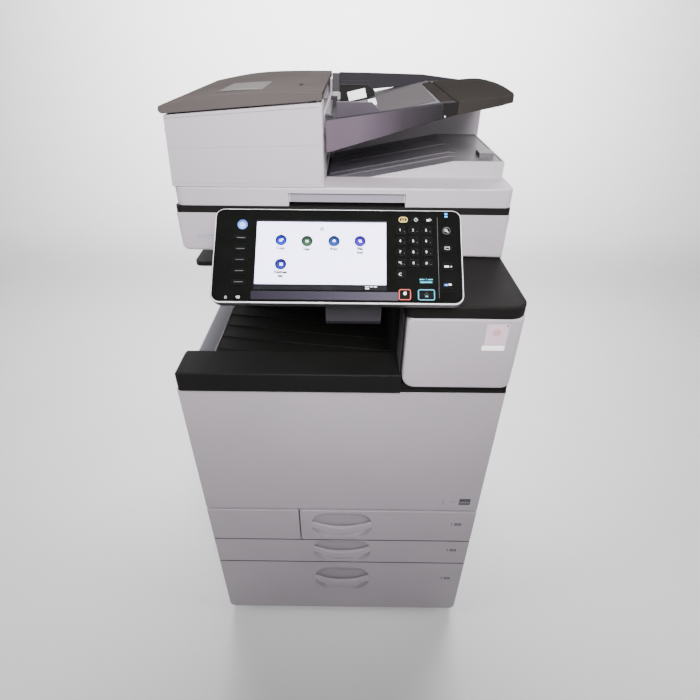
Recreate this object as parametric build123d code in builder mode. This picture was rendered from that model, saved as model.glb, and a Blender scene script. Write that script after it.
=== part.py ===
"""Floor-standing colour photocopier with a document feeder and three paper drawers.

Millimetres, +Z up, -Y towards the user, origin on the floor under the middle of the
machine. Every piece is written to parts/ as its own STEP file.
"""

import os
from math import cos, radians, sin

from build123d import *

# ---- driving dimensions -------------------------------------------------------------
WIDTH = 587.0            # across the side covers
DEPTH = 685.0            # operation panel's front edge to rear cover
PANEL_REACH = 43.2       # operation panel ahead of the front covers
CABINET_Z = 28.0         # lower edge of the lowest front
TRAY_3_TOP = 234.0       # boundary between drawers 3 and 2
TRAY_2_TOP = 321.0       # boundary between drawers 2 and 1
TRAY_1_TOP = 425.0       # boundary between drawer 1 and the front cover
DOOR_TOP = 757.0         # top of the front cover
LEDGE_TOP = 797.0        # top of the black ledge before the output tray
TOWER_Z = 777.0          # lower edge of the right-hand tower's front
TOWER_TOP = 937.0        # top of the right-hand tower
SCANNER_TOP = 1018.0     # top of the scanner's white housing
PLATEN_TOP = 1030.0      # exposure glass
FEEDER_BASE_TOP = 1063.0 # top of the document feeder's base plate
HEIGHT = 1207.0          # crown of the feeder's top cover

SKIN = 3.0               # moulded cover thickness
SHEET = 2.0              # steel sheet thickness
REVEAL = 1.5             # gap between neighbouring covers
FRONT_DEPTH = 22.0       # depth of the drawer fronts
HOLE_PLAY = 0.05         # radial running clearance of a pin in its bore

# ---- derived places -----------------------------------------------------------------
SIDE_X = WIDTH / 2
REAR_Y = DEPTH / 2
FRONT_Y = -DEPTH / 2 + PANEL_REACH
FRONT_BACK_Y = FRONT_Y + FRONT_DEPTH
FRONT_X = SIDE_X - 2.0                     # half width of the full-width fronts

FRAME_X = 275.0                            # outer face of the frame's side plates
FRAME_FRONT = FRONT_Y + 27.5
FRAME_BACK = REAR_Y - 12.5
PAN_Z = 30.0                               # underside of the floor pan
ENGINE_Z = TRAY_1_TOP + 1.0                # underside of the engine floor
DECK_Z = TOWER_TOP - 11.0                  # top of the posts that carry the scanner
POST = 18.0                                # side of the square uprights
RAIL = 12.0                                # width of a drawer rail

TOWER_X = 104.5                            # left edge of the tower's front
TOWER_FRONT = FRONT_Y - 13.0
LINING_X = 101.0                           # output space side of the tower's inner wall
FLOOR_HIGH = 741.0                         # output tray floor at the left
FLOOR_LOW = 706.0                          # output tray floor at the tower
RIM_X = SIDE_X - 35.0                      # inner edge of the left cover's top rim
RIM_Z = 744.0
OUT_BACK = 300.0                           # rear wall of the output space
LEDGE_BACK = FRONT_Y + 64.0

SCANNER_FRONT = FRONT_Y + 170.0
FEEDER_BACK = FRONT_Y + 560.0
FEEDER_RIGHT = -32.0                       # right end of the feeder housing
FEEDER_TRAY_FRONT = FRONT_Y + 185.0
FEEDER_WALL_Y = FRONT_Y + 500.0            # front of the feeder's rear section


def save(builder, name):
    """Label a finished piece and write its STEP file."""
    builder.part.label = name
    export_step(builder.part, f"parts/{name}.step")


def block(x, y, z, mode=Mode.ADD):
    """Add or cut an axis-aligned block given by its (low, high) faces on each axis."""
    middle = tuple((low + high) / 2 for low, high in (x, y, z))
    with Locations(middle):
        Box(x[1] - x[0], y[1] - y[0], z[1] - z[0], mode=mode)


def rod_x(x, y, z, radius, mode=Mode.ADD):
    """Add or cut a round bar along X."""
    with Locations(Plane(origin=((x[0] + x[1]) / 2, y, z), z_dir=(1, 0, 0))):
        Cylinder(radius, x[1] - x[0], mode=mode)


def rod_y(x, y, z, radius, mode=Mode.ADD):
    """Add or cut a round bar along Y."""
    with Locations(Plane(origin=(x, (y[0] + y[1]) / 2, z), z_dir=(0, 1, 0))):
        Cylinder(radius, y[1] - y[0], mode=mode)


def rod_z(x, y, z, radius, mode=Mode.ADD):
    """Add or cut a round bar along Z."""
    with Locations((x, y, (z[0] + z[1]) / 2)):
        Cylinder(radius, z[1] - z[0], mode=mode)


def slab_xz(outline, y, mode=Mode.ADD):
    """Add or cut a prism: an (x, z) outline drawn through from y[0] to y[1]."""
    with BuildSketch(Plane(origin=(0, y[0], 0), x_dir=(1, 0, 0), z_dir=(0, -1, 0))) as profile:
        Polygon(*outline, align=None)
    extrude(profile.sketch, amount=-(y[1] - y[0]), mode=mode)


def slab_yz(outline, x, mode=Mode.ADD):
    """Add or cut a prism: a (y, z) outline drawn through from x[0] to x[1]."""
    with BuildSketch(Plane.YZ.offset(x[0])) as profile:
        Polygon(*outline, align=None)
    extrude(profile.sketch, amount=x[1] - x[0], mode=mode)


# ---- frame and feet -----------------------------------------------------------------
INNER_X = FRAME_X - SHEET                  # inner face of the side plates
TRAY_1_SIDE = -88.0                        # partition beside the narrow upper drawer
DOOR_AXIS_Y = FRONT_Y + 6.5                # front cover's hinge line
DOOR_AXIS_Z = TRAY_1_TOP + 8.0
DOOR_HINGE_X = 200.0
DOOR_PIN = 2.0
SIDE_DOOR_X = SIDE_X - 8.5                 # right door's hinge line
SIDE_DOOR_Y = 249.5
SIDE_DOOR_Z = (336.0, 758.0)
SIDE_PIN = 3.0
RAIL_Z = {1: 399.5, 2: 297.5, 3: 199.5}    # top face of each drawer's rails

with BuildPart() as base_frame:
    span_y = (FRAME_FRONT, FRAME_BACK)
    block((-FRAME_X, FRAME_X), span_y, (PAN_Z, PAN_Z + SKIN))
    block((-FRAME_X, -INNER_X), span_y, (PAN_Z, ENGINE_Z + SHEET))
    block((INNER_X, FRAME_X), span_y, (PAN_Z, ENGINE_Z + SHEET))
    block((-FRAME_X, FRAME_X), span_y, (ENGINE_Z, ENGINE_Z + SHEET))
    block((TRAY_1_SIDE - SHEET, TRAY_1_SIDE), span_y, (TRAY_2_TOP + 5, ENGINE_Z))
    block((-FRAME_X, TRAY_1_SIDE), span_y, (TRAY_2_TOP + 3, TRAY_2_TOP + 5))
    block((-FRAME_X, FRAME_X), (FRAME_BACK - SHEET, FRAME_BACK), (PAN_Z, RIM_Z - 6))
    block((-RIM_X + 2, FRAME_X), (FRAME_BACK - SHEET, FRAME_BACK), (PAN_Z, TOWER_TOP - 23))
    for number, rail_z in RAIL_Z.items():
        left = TRAY_1_SIDE if number == 1 else -INNER_X
        block((left, left + RAIL), span_y, (rail_z - SHEET, rail_z))
        block((INNER_X - RAIL, INNER_X), span_y, (rail_z - SHEET, rail_z))
    # posts and top rails that carry the scanner
    for post_y in (FRAME_FRONT, SIDE_DOOR_Y + 16):
        block((FRAME_X - POST, FRAME_X), (post_y, post_y + POST), (ENGINE_Z, DECK_Z))
    block((-FRAME_X, -FRAME_X + POST), (FRAME_FRONT, FRAME_FRONT + POST), (ENGINE_Z, 700))
    block((FRAME_X - POST, FRAME_X), (span_y[0], span_y[1] - 10), (DECK_Z - POST, DECK_Z))
    for mount_y in (-60.0, 280.0):
        rod_z(FRAME_X - POST / 2, mount_y, (DECK_Z - POST, TOWER_TOP + 0.5), 7)
    # hinge arms of the front cover
    for arm_x in (-DOOR_HINGE_X, DOOR_HINGE_X):
        arm_span = (arm_x - 4, arm_x + 4)
        block(arm_span, (DOOR_AXIS_Y, FRAME_FRONT + 4), (DOOR_AXIS_Z - 3, DOOR_AXIS_Z + 3))
        rod_x(arm_span, DOOR_AXIS_Y, DOOR_AXIS_Z, 3.2)
        block(arm_span, (FRAME_FRONT, FRAME_FRONT + 4), (ENGINE_Z, DOOR_AXIS_Z + 3))
        rod_x(arm_span, DOOR_AXIS_Y, DOOR_AXIS_Z, DOOR_PIN + HOLE_PLAY, Mode.SUBTRACT)
    # hinge lugs of the right door
    for lug_z, inner in ((SIDE_DOOR_Z[0] - 5.5, INNER_X), (SIDE_DOOR_Z[1] + 1.5, FRAME_X - POST)):
        block((inner, SIDE_X - 4), (SIDE_DOOR_Y - 10, SIDE_DOOR_Y + 18), (lug_z, lug_z + 4))
        rod_z(SIDE_DOOR_X, SIDE_DOOR_Y, (lug_z, lug_z + 4), SIDE_PIN + HOLE_PLAY, Mode.SUBTRACT)
save(base_frame, "base_frame")

with BuildPart() as levelling_feet:
    with Locations(*[(x, y, 0) for x in (-235, 235) for y in (-220, 280)]):
        Cylinder(24, 9, align=(Align.CENTER, Align.CENTER, Align.MIN))
        Cylinder(7, PAN_Z, align=(Align.CENTER, Align.CENTER, Align.MIN))
        with Locations((0, 0, PAN_Z - 8)):
            Cylinder(12, 8, align=(Align.CENTER, Align.CENTER, Align.MIN))
    fillet(levelling_feet.edges().filter_by(GeomType.CIRCLE).group_by(Axis.Z)[1], 2)
save(levelling_feet, "levelling_feet")

# ---- outer covers -------------------------------------------------------------------
COVER_Y = (FRONT_BACK_Y + REVEAL, REAR_Y - SKIN - 0.5)


def louvres(plane, rows, length=110, pitch=10, height=4, deep=SKIN + 1):
    """Cut a field of rounded ventilation slots square to a plane."""
    with BuildSketch(plane) as slots:
        with GridLocations(1, pitch, 1, rows):
            SlotOverall(length, height)
    extrude(slots.sketch, amount=deep, both=True, mode=Mode.SUBTRACT)


with BuildPart() as left_cover:
    block((-SIDE_X, -SIDE_X + SKIN), COVER_Y, (PAN_Z, RIM_Z))
    block((-SIDE_X, -RIM_X), COVER_Y, (RIM_Z - SKIN, RIM_Z))
    fillet(left_cover.edges().filter_by(Axis.Y).sort_by(Axis.Z)[-2:].sort_by(Axis.X)[:1], 2.5)
    louvres(Plane(origin=(-SIDE_X, 240, 520), x_dir=(0, 1, 0), z_dir=(-1, 0, 0)), 14)
    louvres(Plane(origin=(-SIDE_X, 240, 150), x_dir=(0, 1, 0), z_dir=(-1, 0, 0)), 8)
save(left_cover, "left_cover")

with BuildPart() as right_cover:
    skin_x = (SIDE_X - SKIN, SIDE_X)
    block(skin_x, COVER_Y, (PAN_Z, SIDE_DOOR_Z[0] - 8))
    block(skin_x, (SIDE_DOOR_Y + 13, COVER_Y[1]), (PAN_Z, SIDE_DOOR_Z[1]))
    louvres(Plane(origin=(SIDE_X, 210, 120), x_dir=(0, 1, 0), z_dir=(1, 0, 0)), 8)
save(right_cover, "right_cover")

INLET_X = 205.0
INLET_Z = 112.0
with BuildPart() as rear_cover:
    block((-SIDE_X, SIDE_X), (REAR_Y - SKIN, REAR_Y), (PAN_Z, TOWER_TOP - 3))
    fillet(rear_cover.edges().filter_by(Axis.Z).group_by(Axis.Y)[-1], 2)
    for vent_x, vent_z in ((-150, 820), (150, 820), (-150, 560), (150, 560)):
        louvres(Plane(origin=(vent_x, REAR_Y, vent_z), x_dir=(1, 0, 0), z_dir=(0, 1, 0)), 12, 150)
    block((INLET_X - 17, INLET_X + 17), (REAR_Y - SKIN, REAR_Y), (INLET_Z - 13, INLET_Z + 13),
          Mode.SUBTRACT)
    # mains inlet set into the cover
    block((INLET_X - 16.5, INLET_X + 16.5), (REAR_Y - 11, REAR_Y - 1), (INLET_Z - 12.5, INLET_Z + 12.5))
    block((INLET_X - 19, INLET_X + 19), (REAR_Y - SKIN - 2, REAR_Y - SKIN), (INLET_Z - 15, INLET_Z + 15))
    block((INLET_X - 12.5, INLET_X + 12.5), (REAR_Y - 9, REAR_Y), (INLET_Z - 8.5, INLET_Z + 8.5),
          Mode.SUBTRACT)
    for pin_x, pin_z in ((-7, -2), (0, 2), (7, -2)):
        block((INLET_X + pin_x - 1, INLET_X + pin_x + 1), (REAR_Y - 10, REAR_Y - 2.5),
              (INLET_Z + pin_z - 2, INLET_Z + pin_z + 2))
save(rear_cover, "rear_cover")

TRAY_1_LEFT = -91.0
with BuildPart() as lower_left_cover:
    cover_z = (TRAY_2_TOP + REVEAL / 2, TRAY_1_TOP - REVEAL / 2)
    block((-FRONT_X, TRAY_1_LEFT - 2.5), (FRONT_Y, FRONT_BACK_Y), cover_z)
    fillet(lower_left_cover.faces().sort_by(Axis.Y)[0].edges(), 1.5)
    block((-FRONT_X + SKIN, TRAY_1_LEFT - 2.5 - SKIN), (FRONT_Y + SKIN, FRONT_BACK_Y),
          (cover_z[0] + SKIN, cover_z[1] - SKIN), Mode.SUBTRACT)
    # mounting ears that reach back to the frame
    for ear_x in (-260.0, -120.0):
        block((ear_x, ear_x + 12), (FRONT_Y + SKIN, FRAME_FRONT), (cover_z[0] + 20, cover_z[0] + 24))
save(lower_left_cover, "lower_left_cover")

# ---- front cover --------------------------------------------------------------------
DOOR_DEPTH = 20.0
with BuildPart() as front_cover:
    with BuildSketch(Plane.YZ.offset(-FRONT_X)):
        with BuildLine():
            nose = DOOR_AXIS_Y - FRONT_Y
            low = DOOR_AXIS_Z - nose
            top = DOOR_TOP - 0.5
            back = FRONT_Y + DOOR_DEPTH
            Line((FRONT_Y, DOOR_AXIS_Z), (FRONT_Y, top))
            Line((FRONT_Y, top), (back, top))
            Line((back, top), (back, low))
            Line((back, low), (DOOR_AXIS_Y, low))
            JernArc((DOOR_AXIS_Y, low), (-1, 0), nose, -90)
        make_face()
    extrude(amount=2 * FRONT_X)
    fillet(front_cover.edges().filter_by(Axis.Z).group_by(Axis.Y)[0], 3)
    block((-FRONT_X + SKIN, FRONT_X - SKIN), (FRONT_Y + SKIN, back),
          (DOOR_AXIS_Z + 8, top - SKIN), Mode.SUBTRACT)
    # stiffening ribs inside the skin
    for rib_x in (-145.0, 0.0, 145.0):
        block((rib_x - 1, rib_x + 1), (FRONT_Y + SKIN, back - 6), (DOOR_AXIS_Z + 8, top - SKIN))
    for rib_z in (540.0, 650.0):
        block((-FRONT_X + SKIN, FRONT_X - SKIN), (FRONT_Y + SKIN, back - 6), (rib_z - 1, rib_z + 1))
    # slots and pins that ride on the frame's hinge arms
    for arm_x in (-DOOR_HINGE_X, DOOR_HINGE_X):
        block((arm_x - 5, arm_x + 5), (FRONT_Y + SKIN + 0.05, back + 1), (low - 1, DOOR_AXIS_Z + 10),
              Mode.SUBTRACT)
        rod_x((arm_x - 6, arm_x + 6), DOOR_AXIS_Y, DOOR_AXIS_Z, DOOR_PIN)
save(front_cover, "front_cover")

# ---- paper drawers ------------------------------------------------------------------
POCKET_W = 131.0
BAR_HEIGHT = 18.0
BAR_BULGE = 17.0
BAR_THICK = 7.5


def pocket(low, rim, top):
    """Scoop behind a drawer's grip bar: coved at the top and bottom, round in front view."""
    deep = FRONT_Y + FRONT_DEPTH - SKIN
    with BuildPart() as scoop:
        with BuildSketch(Plane.YZ.offset(-POCKET_W / 2)):
            with BuildLine():
                ThreePointArc((FRONT_Y, top), (FRONT_Y + 13, (top + rim) / 2 + 6), (deep, rim - 8))
                Line((deep, rim - 8), (deep, low + 16))
                ThreePointArc((deep, low + 16), (deep - 5, low + 6), (FRONT_Y, low))
                Line((FRONT_Y, low), (FRONT_Y - 2, low))
                Line((FRONT_Y - 2, low), (FRONT_Y - 2, top))
                Line((FRONT_Y - 2, top), (FRONT_Y, top))
            make_face()
        extrude(amount=POCKET_W)
        with BuildSketch(Plane(origin=(0, FRONT_Y - 3, (low + top) / 2), x_dir=(1, 0, 0), z_dir=(0, -1, 0))):
            RectangleRounded(POCKET_W, top - low, (top - low) / 2 - 8)
        extrude(amount=-FRONT_DEPTH - 3, mode=Mode.INTERSECT)
    return scoop.part


def tray_front(name, x, z, rim, pocket_z, corner):
    """Drawer front: a hollow moulding with a scooped pocket and a bulging grip bar."""
    low, top = pocket_z
    scoop = pocket(low, rim, top)
    with BuildPart() as front:
        block(x, (FRONT_Y, FRONT_BACK_Y), z)
        fillet(front.edges().filter_by(Axis.Y).group_by(Axis.Z)[0], corner)
        fillet(front.faces().sort_by(Axis.Y)[0].edges(), 1.5)
        block((x[0] + SKIN, x[1] - SKIN), (FRONT_Y + SKIN, FRONT_BACK_Y), (z[0] + SKIN, z[1] - SKIN),
              Mode.SUBTRACT)
        cup = (-POCKET_W / 2 - SKIN, POCKET_W / 2 + SKIN)
        cup_z = (max(low - SKIN, z[0] + 1), min(top + SKIN, z[1] - 1))
        block(cup, (FRONT_Y + 1, FRONT_BACK_Y), cup_z)
        for rib_x in (x[0] + 60, x[1] - 60):
            block((rib_x - 1, rib_x + 1), (FRONT_Y + 1, FRONT_BACK_Y), (z[0] + 1, z[1] - 1))
        add(scoop, mode=Mode.SUBTRACT)
        with BuildSketch(Plane.XY.offset(rim - BAR_HEIGHT)):
            with BuildLine():
                half = POCKET_W / 2 + 1
                ThreePointArc((-half, FRONT_Y), (0, FRONT_Y - BAR_BULGE), (half, FRONT_Y))
                Line((half, FRONT_Y), (half, FRONT_Y + 4))
                ThreePointArc((half, FRONT_Y + 4), (0, FRONT_Y - BAR_BULGE + BAR_THICK), (-half, FRONT_Y + 4))
                Line((-half, FRONT_Y + 4), (-half, FRONT_Y))
            make_face()
        extrude(amount=BAR_HEIGHT)
    save(front, name)


TRAY_FRONTS = {
    1: ((TRAY_1_LEFT, FRONT_X), (TRAY_2_TOP, TRAY_1_TOP), 386.0, (333.0, 415.0), 6.0),
    2: ((-FRONT_X, FRONT_X), (TRAY_3_TOP, TRAY_2_TOP), 295.0, (242.0, 317.0), 3.0),
    3: ((-FRONT_X, FRONT_X), (CABINET_Z, TRAY_3_TOP), 177.0, (117.0, 210.0), 14.0),
}
for number, (span_x, span_z, rim_z, pocket_z, corner_r) in TRAY_FRONTS.items():
    shut = (span_z[0] + REVEAL / 2, span_z[1] - REVEAL / 2)
    tray_front(f"tray_{number}_front", span_x, shut, rim_z, pocket_z, corner_r)

BOX_BACK = 250.0
BOX_Z = {1: (330.0, 414.0), 2: (240.0, 312.0), 3: (36.0, 226.0)}


def tray_box(name, number):
    """Open steel drawer with side flanges that ride on the frame's rails."""
    left = TRAY_1_SIDE if number == 1 else -INNER_X
    x = (left + RAIL + 2, INNER_X - RAIL - 2)
    low, top = BOX_Z[number]
    flange_z = RAIL_Z[number] + 0.5
    with BuildPart() as box:
        block(x, (FRONT_BACK_Y, BOX_BACK), (low, top))
        block((x[0] + SHEET, x[1] - SHEET), (FRONT_BACK_Y + SHEET, BOX_BACK - SHEET), (low + SHEET, top),
              Mode.SUBTRACT)
        for flange_x in ((x[0] - RAIL, x[0]), (x[1], x[1] + RAIL)):
            block(flange_x, (FRONT_BACK_Y + 8, BOX_BACK), (flange_z, flange_z + SHEET))
        # paper stops: side guides and, in the deep drawer, the centre partition
        if number == 3:
            block((-1, 1), (FRONT_BACK_Y + 20, BOX_BACK - 20), (low, top - 30))
        guide_top = min(low + 55, top - 6)
        for guide_y in (-215.0, 190.0):
            block((x[0] + 90, x[0] + 170), (guide_y - 1, guide_y + 1), (low, guide_top))
    save(box, name)


LIFT_THICK = 1.5
LIFT_HINGE = {1: (-62.0, 338.0), 2: (-60.0, 248.0)}    # (x, z) of the lift plates' pivots
for number in (1, 2, 3):
    tray_box(f"tray_{number}_box", number)

for number, (pivot_x, pivot_z) in LIFT_HINGE.items():
    with BuildPart() as lift_plate:
        plate_z = (pivot_z - LIFT_THICK / 2, pivot_z + LIFT_THICK / 2)
        block((pivot_x, 252), (-180, 160), plate_z)
        rod_y(pivot_x, (-180, 160), pivot_z, 2.5)
        with BuildSketch(Plane.XY.offset(pivot_z - 1)):
            with Locations((150, -10)):
                SlotOverall(150, 60)
        extrude(amount=2, mode=Mode.SUBTRACT)
    save(lift_plate, f"tray_{number}_lift_plate")

with BuildPart() as tray_3_lift_plate:
    block((8, 254), (-250, 236), (44, 46))
    block((8, 254), (-252, -250), (44, 56))
    block((8, 254), (236, 238), (44, 56))
save(tray_3_lift_plate, "tray_3_lift_plate")

# ---- right door and bypass tray -----------------------------------------------------
DOOR_WALL = 17.0                           # depth of the right door
BYPASS_Y = (-158.0, 158.0)
BYPASS_Z = (442.0, 698.0)
BYPASS_NOSE = 5.5
BYPASS_AXIS = (SIDE_X - 0.5 - BYPASS_NOSE, BYPASS_Z[0] + BYPASS_NOSE)
BYPASS_PIN = 2.5

with BuildPart() as right_door:
    block((SIDE_X - DOOR_WALL, SIDE_X), (FRONT_BACK_Y + REVEAL, SIDE_DOOR_Y), SIDE_DOOR_Z)
    fillet(right_door.edges().filter_by(Axis.Z).group_by(Axis.Y)[0], 2)
    rod_z(SIDE_DOOR_X, SIDE_DOOR_Y, SIDE_DOOR_Z, DOOR_WALL / 2)
    block((SIDE_X - DOOR_WALL, SIDE_X - SKIN), (FRONT_BACK_Y + 6, SIDE_DOOR_Y - 12),
          (SIDE_DOOR_Z[0] + SKIN, SIDE_DOOR_Z[1] - SKIN), Mode.SUBTRACT)
    # recess that the folded bypass tray lies in
    block((SIDE_X - DOOR_WALL + 1, SIDE_X - 1), (BYPASS_Y[0] - 8, BYPASS_Y[1] + 8),
          (BYPASS_Z[0] - 5, BYPASS_Z[1] + 5))
    block((SIDE_X - 13, SIDE_X), (BYPASS_Y[0] - 1.5, BYPASS_Y[1] + 1.5), (BYPASS_Z[0] - 1.5, BYPASS_Z[1] + 1.5),
          Mode.SUBTRACT)
    rod_y(BYPASS_AXIS[0], (BYPASS_Y[0] - 6, BYPASS_Y[1] + 6), BYPASS_AXIS[1], BYPASS_PIN + HOLE_PLAY,
          Mode.SUBTRACT)
    # finger slot of the opening lever, above the bypass tray
    block((SIDE_X - DOOR_WALL + 1, SIDE_X - 1), (-194, -106), (702, 738))
    block((SIDE_X - 12, SIDE_X), (-190, -110), (712, 734), Mode.SUBTRACT)
    # paper guide ribs on the inner side
    for rib_y in range(-140, 161, 40):
        block((SIDE_X - DOOR_WALL, SIDE_X - SKIN), (rib_y - 1, rib_y + 1), (SIDE_DOOR_Z[0] + 1, BYPASS_Z[0] - 4))
    for pin_z in ((SIDE_DOOR_Z[0] - 6, SIDE_DOOR_Z[0]), (SIDE_DOOR_Z[1], SIDE_DOOR_Z[1] + 6)):
        rod_z(SIDE_DOOR_X, SIDE_DOOR_Y, pin_z, SIDE_PIN)
save(right_door, "right_door")

with BuildPart() as bypass_tray:
    face_x = SIDE_X - 0.5
    block((face_x - 2 * BYPASS_NOSE, face_x), BYPASS_Y, (BYPASS_AXIS[1], BYPASS_Z[1]))
    rod_y(BYPASS_AXIS[0], BYPASS_Y, BYPASS_AXIS[1], BYPASS_NOSE)
    block((face_x - 2 * BYPASS_NOSE, face_x - SKIN), (BYPASS_Y[0] + 6, BYPASS_Y[1] - 6),
          (BYPASS_AXIS[1] + 12, BYPASS_Z[1] - 6), Mode.SUBTRACT)
    for rib_y in range(-120, 121, 40):
        block((face_x - 7, face_x - SKIN), (rib_y - 1, rib_y + 1), (BYPASS_AXIS[1] + 11, BYPASS_Z[1] - 5))
    for end in ((BYPASS_Y[0] - 5, BYPASS_Y[0] + 1), (BYPASS_Y[1] - 1, BYPASS_Y[1] + 5)):
        rod_y(BYPASS_AXIS[0], end, BYPASS_AXIS[1], BYPASS_PIN)
    # thumb notch at the upper edge
    with BuildSketch(Plane(origin=(face_x, 0, BYPASS_Z[1]), x_dir=(0, 1, 0), z_dir=(1, 0, 0))):
        SlotOverall(60, 12)
    extrude(amount=-2, mode=Mode.SUBTRACT)
save(bypass_tray, "bypass_tray")

# ---- engine, seen behind the front cover and the right door -------------------------
BOTTLE_X = (-205.0, -115.0, -25.0, 65.0)
BOTTLE_Z = 652.0
BOTTLE_R = 32.0
DRUM_Z = (505.0, 575.0)

with BuildPart() as inner_cover:
    face_y = (FRAME_FRONT - 5, FRAME_FRONT - 1)
    block((-FRAME_X, FRAME_X), face_y, (ENGINE_Z + SHEET + 10, RIM_Z - 5))
    for bottle_x in BOTTLE_X:
        rod_y(bottle_x, (face_y[0] - 1, face_y[1] + 1), BOTTLE_Z, BOTTLE_R + 4, Mode.SUBTRACT)
        block((bottle_x - 38, bottle_x + 38), face_y, (DRUM_Z[0] - 3, DRUM_Z[1] + 3), Mode.SUBTRACT)
    # waste toner box front
    block((130, 250), (face_y[0] - 2, face_y[1] + 30), (470, 600))
    # mounting flange on the engine floor
    block((-FRAME_X + 20, FRAME_X - 20), (face_y[0], FRAME_FRONT + 12),
          (ENGINE_Z + SHEET + 10, ENGINE_Z + SHEET + 12))
save(inner_cover, "inner_cover")

with BuildPart() as toner_bottles:
    for bottle_x in BOTTLE_X:
        rod_y(bottle_x, (FRAME_FRONT - 4, 150), BOTTLE_Z, BOTTLE_R)
        rod_y(bottle_x, (150, 175), BOTTLE_Z, 18)
        # pull tab across the cap
        rod_y(bottle_x, (FRAME_FRONT - 6, FRAME_FRONT - 2), BOTTLE_Z, BOTTLE_R - 4, Mode.SUBTRACT)
        block((bottle_x - 5, bottle_x + 5), (FRAME_FRONT - 5, FRAME_FRONT), (BOTTLE_Z - 26, BOTTLE_Z + 26))
        # spiral carrying ribs of the bottle, as rings
        for ring_y in range(-200, 121, 40):
            rod_y(bottle_x, (ring_y - 3, ring_y + 3), BOTTLE_Z, BOTTLE_R + 2)
save(toner_bottles, "toner_bottles")

with BuildPart() as print_engine:
    for bottle_x in BOTTLE_X:
        block((bottle_x - 35, bottle_x + 35), (FRAME_FRONT - 3, 160), DRUM_Z)
        rod_y(bottle_x + 14, (FRAME_FRONT + 12, 140), DRUM_Z[1] + 2, 15)
        rod_y(bottle_x - 14, (FRAME_FRONT - 7, FRAME_FRONT - 3), DRUM_Z[0] + 30, 11)
    # transfer belt over the four drums
    with BuildSketch(Plane(origin=(-70, FRAME_FRONT + 12, 604), x_dir=(1, 0, 0), z_dir=(0, -1, 0))):
        SlotOverall(370, 24)
    extrude(amount=-380)
    # laser optics under the drums
    block((-250, 110), (-230, 180), (440, 496))
save(print_engine, "print_engine")

with BuildPart() as fuser_unit:
    block((182, 254), (-170, 170), (722, 796))
    fillet(fuser_unit.edges().filter_by(Axis.Y), 6)
    block((208, 228), (-150, 150), (720, 800), Mode.SUBTRACT)
    # fixing rollers, pressed together in the machine, just apart here
    for roller_x in (203, 233):
        rod_y(roller_x, (-160, 160), 759, 14.5)
save(fuser_unit, "fuser_unit")

# ---- output space -------------------------------------------------------------------
EXIT_AXIS = (LINING_X + 11.0, 859.0)       # (x, z) of the exit roller
EXIT_SHAFT = 4.0
EXIT_Y = (-140.0, 200.0)

with BuildPart() as output_tray:
    wall_x = (LINING_X, LINING_X + SKIN)
    # sloping floor, low under the exit
    slab_xz([(-RIM_X + 1, FLOOR_HIGH), (wall_x[1], FLOOR_LOW),
             (wall_x[1], FLOOR_LOW - SKIN), (-RIM_X + 1, FLOOR_HIGH - SKIN)],
            (LEDGE_BACK - SKIN, OUT_BACK))
    # ledge along the front, hollow from below, and its low run under the tower
    block((-SIDE_X + 5, wall_x[1]), (FRONT_Y - 5, LEDGE_BACK), (DOOR_TOP + REVEAL, LEDGE_TOP))
    fillet(output_tray.edges().filter_by(Axis.X).group_by(Axis.Y)[0].sort_by(Axis.Z)[-1:], 3)
    fillet(output_tray.edges().filter_by(Axis.Z).group_by(Axis.X)[0], 8)
    block((-SIDE_X + 5 + SKIN, wall_x[0]), (FRONT_Y - 2, LEDGE_BACK - SKIN), (DOOR_TOP, LEDGE_TOP - SKIN),
          Mode.SUBTRACT)
    block((-RIM_X + 1, wall_x[1]), (LEDGE_BACK - SKIN, LEDGE_BACK), (FLOOR_LOW - SKIN, LEDGE_TOP))
    block((wall_x[0], SIDE_X - SKIN - 0.5), (FRONT_Y, LEDGE_BACK), (DOOR_TOP + REVEAL, TOWER_Z - 1.5))
    block((FRAME_X - POST - 1, FRAME_X + 1), (FRAME_FRONT - 1, FRAME_FRONT + POST + 1), (DOOR_TOP, TOWER_Z),
          Mode.SUBTRACT)
    # drip lip along the foot of the ledge
    block((-SIDE_X + 6, SIDE_X - SKIN - 0.5), (FRONT_Y - 2, FRONT_Y + 2), (DOOR_TOP + REVEAL, DOOR_TOP + 6))
    # inner wall of the tower and rear wall
    block(wall_x, (FRONT_Y + 3, OUT_BACK), (DOOR_TOP + REVEAL, TOWER_TOP - 22))
    block(wall_x, (LEDGE_BACK - SKIN, OUT_BACK), (FLOOR_LOW - SKIN, TOWER_TOP - 22))
    block((-RIM_X + 1, wall_x[1]), (OUT_BACK - SKIN, OUT_BACK), (FLOOR_LOW - SKIN, TOWER_TOP - 22))
    # cut away what the slope leaves below the floor
    slab_xz([(-RIM_X, FLOOR_HIGH - SKIN), (wall_x[1] + 1, FLOOR_LOW - SKIN),
             (wall_x[1] + 1, FLOOR_LOW - 60), (-RIM_X, FLOOR_LOW - 60)],
            (LEDGE_BACK - SKIN, OUT_BACK), Mode.SUBTRACT)
    # paper exit and the bearings of the exit roller
    block(wall_x, (EXIT_Y[0] + 25, EXIT_Y[1] - 25), (EXIT_AXIS[1] - 15, EXIT_AXIS[1] + 15), Mode.SUBTRACT)
    for lug_y in (EXIT_Y[0] + 6, EXIT_Y[1] - 12):
        block((wall_x[0], EXIT_AXIS[0] + 8), (lug_y, lug_y + 6), (EXIT_AXIS[1] - 8, EXIT_AXIS[1] + 8))
        rod_y(EXIT_AXIS[0], (lug_y, lug_y + 6), EXIT_AXIS[1], EXIT_SHAFT + HOLE_PLAY, Mode.SUBTRACT)
    # ribs that keep the sheets from sticking to the floor
    for rib_y in range(-190, 271, 46):
        slab_xz([(-RIM_X + 2, FLOOR_HIGH + 2), (wall_x[0], FLOOR_LOW + 2),
                 (wall_x[0], FLOOR_LOW - 1), (-RIM_X + 2, FLOOR_HIGH - 1)], (rib_y - 1.5, rib_y + 1.5))
save(output_tray, "output_tray")

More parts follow.
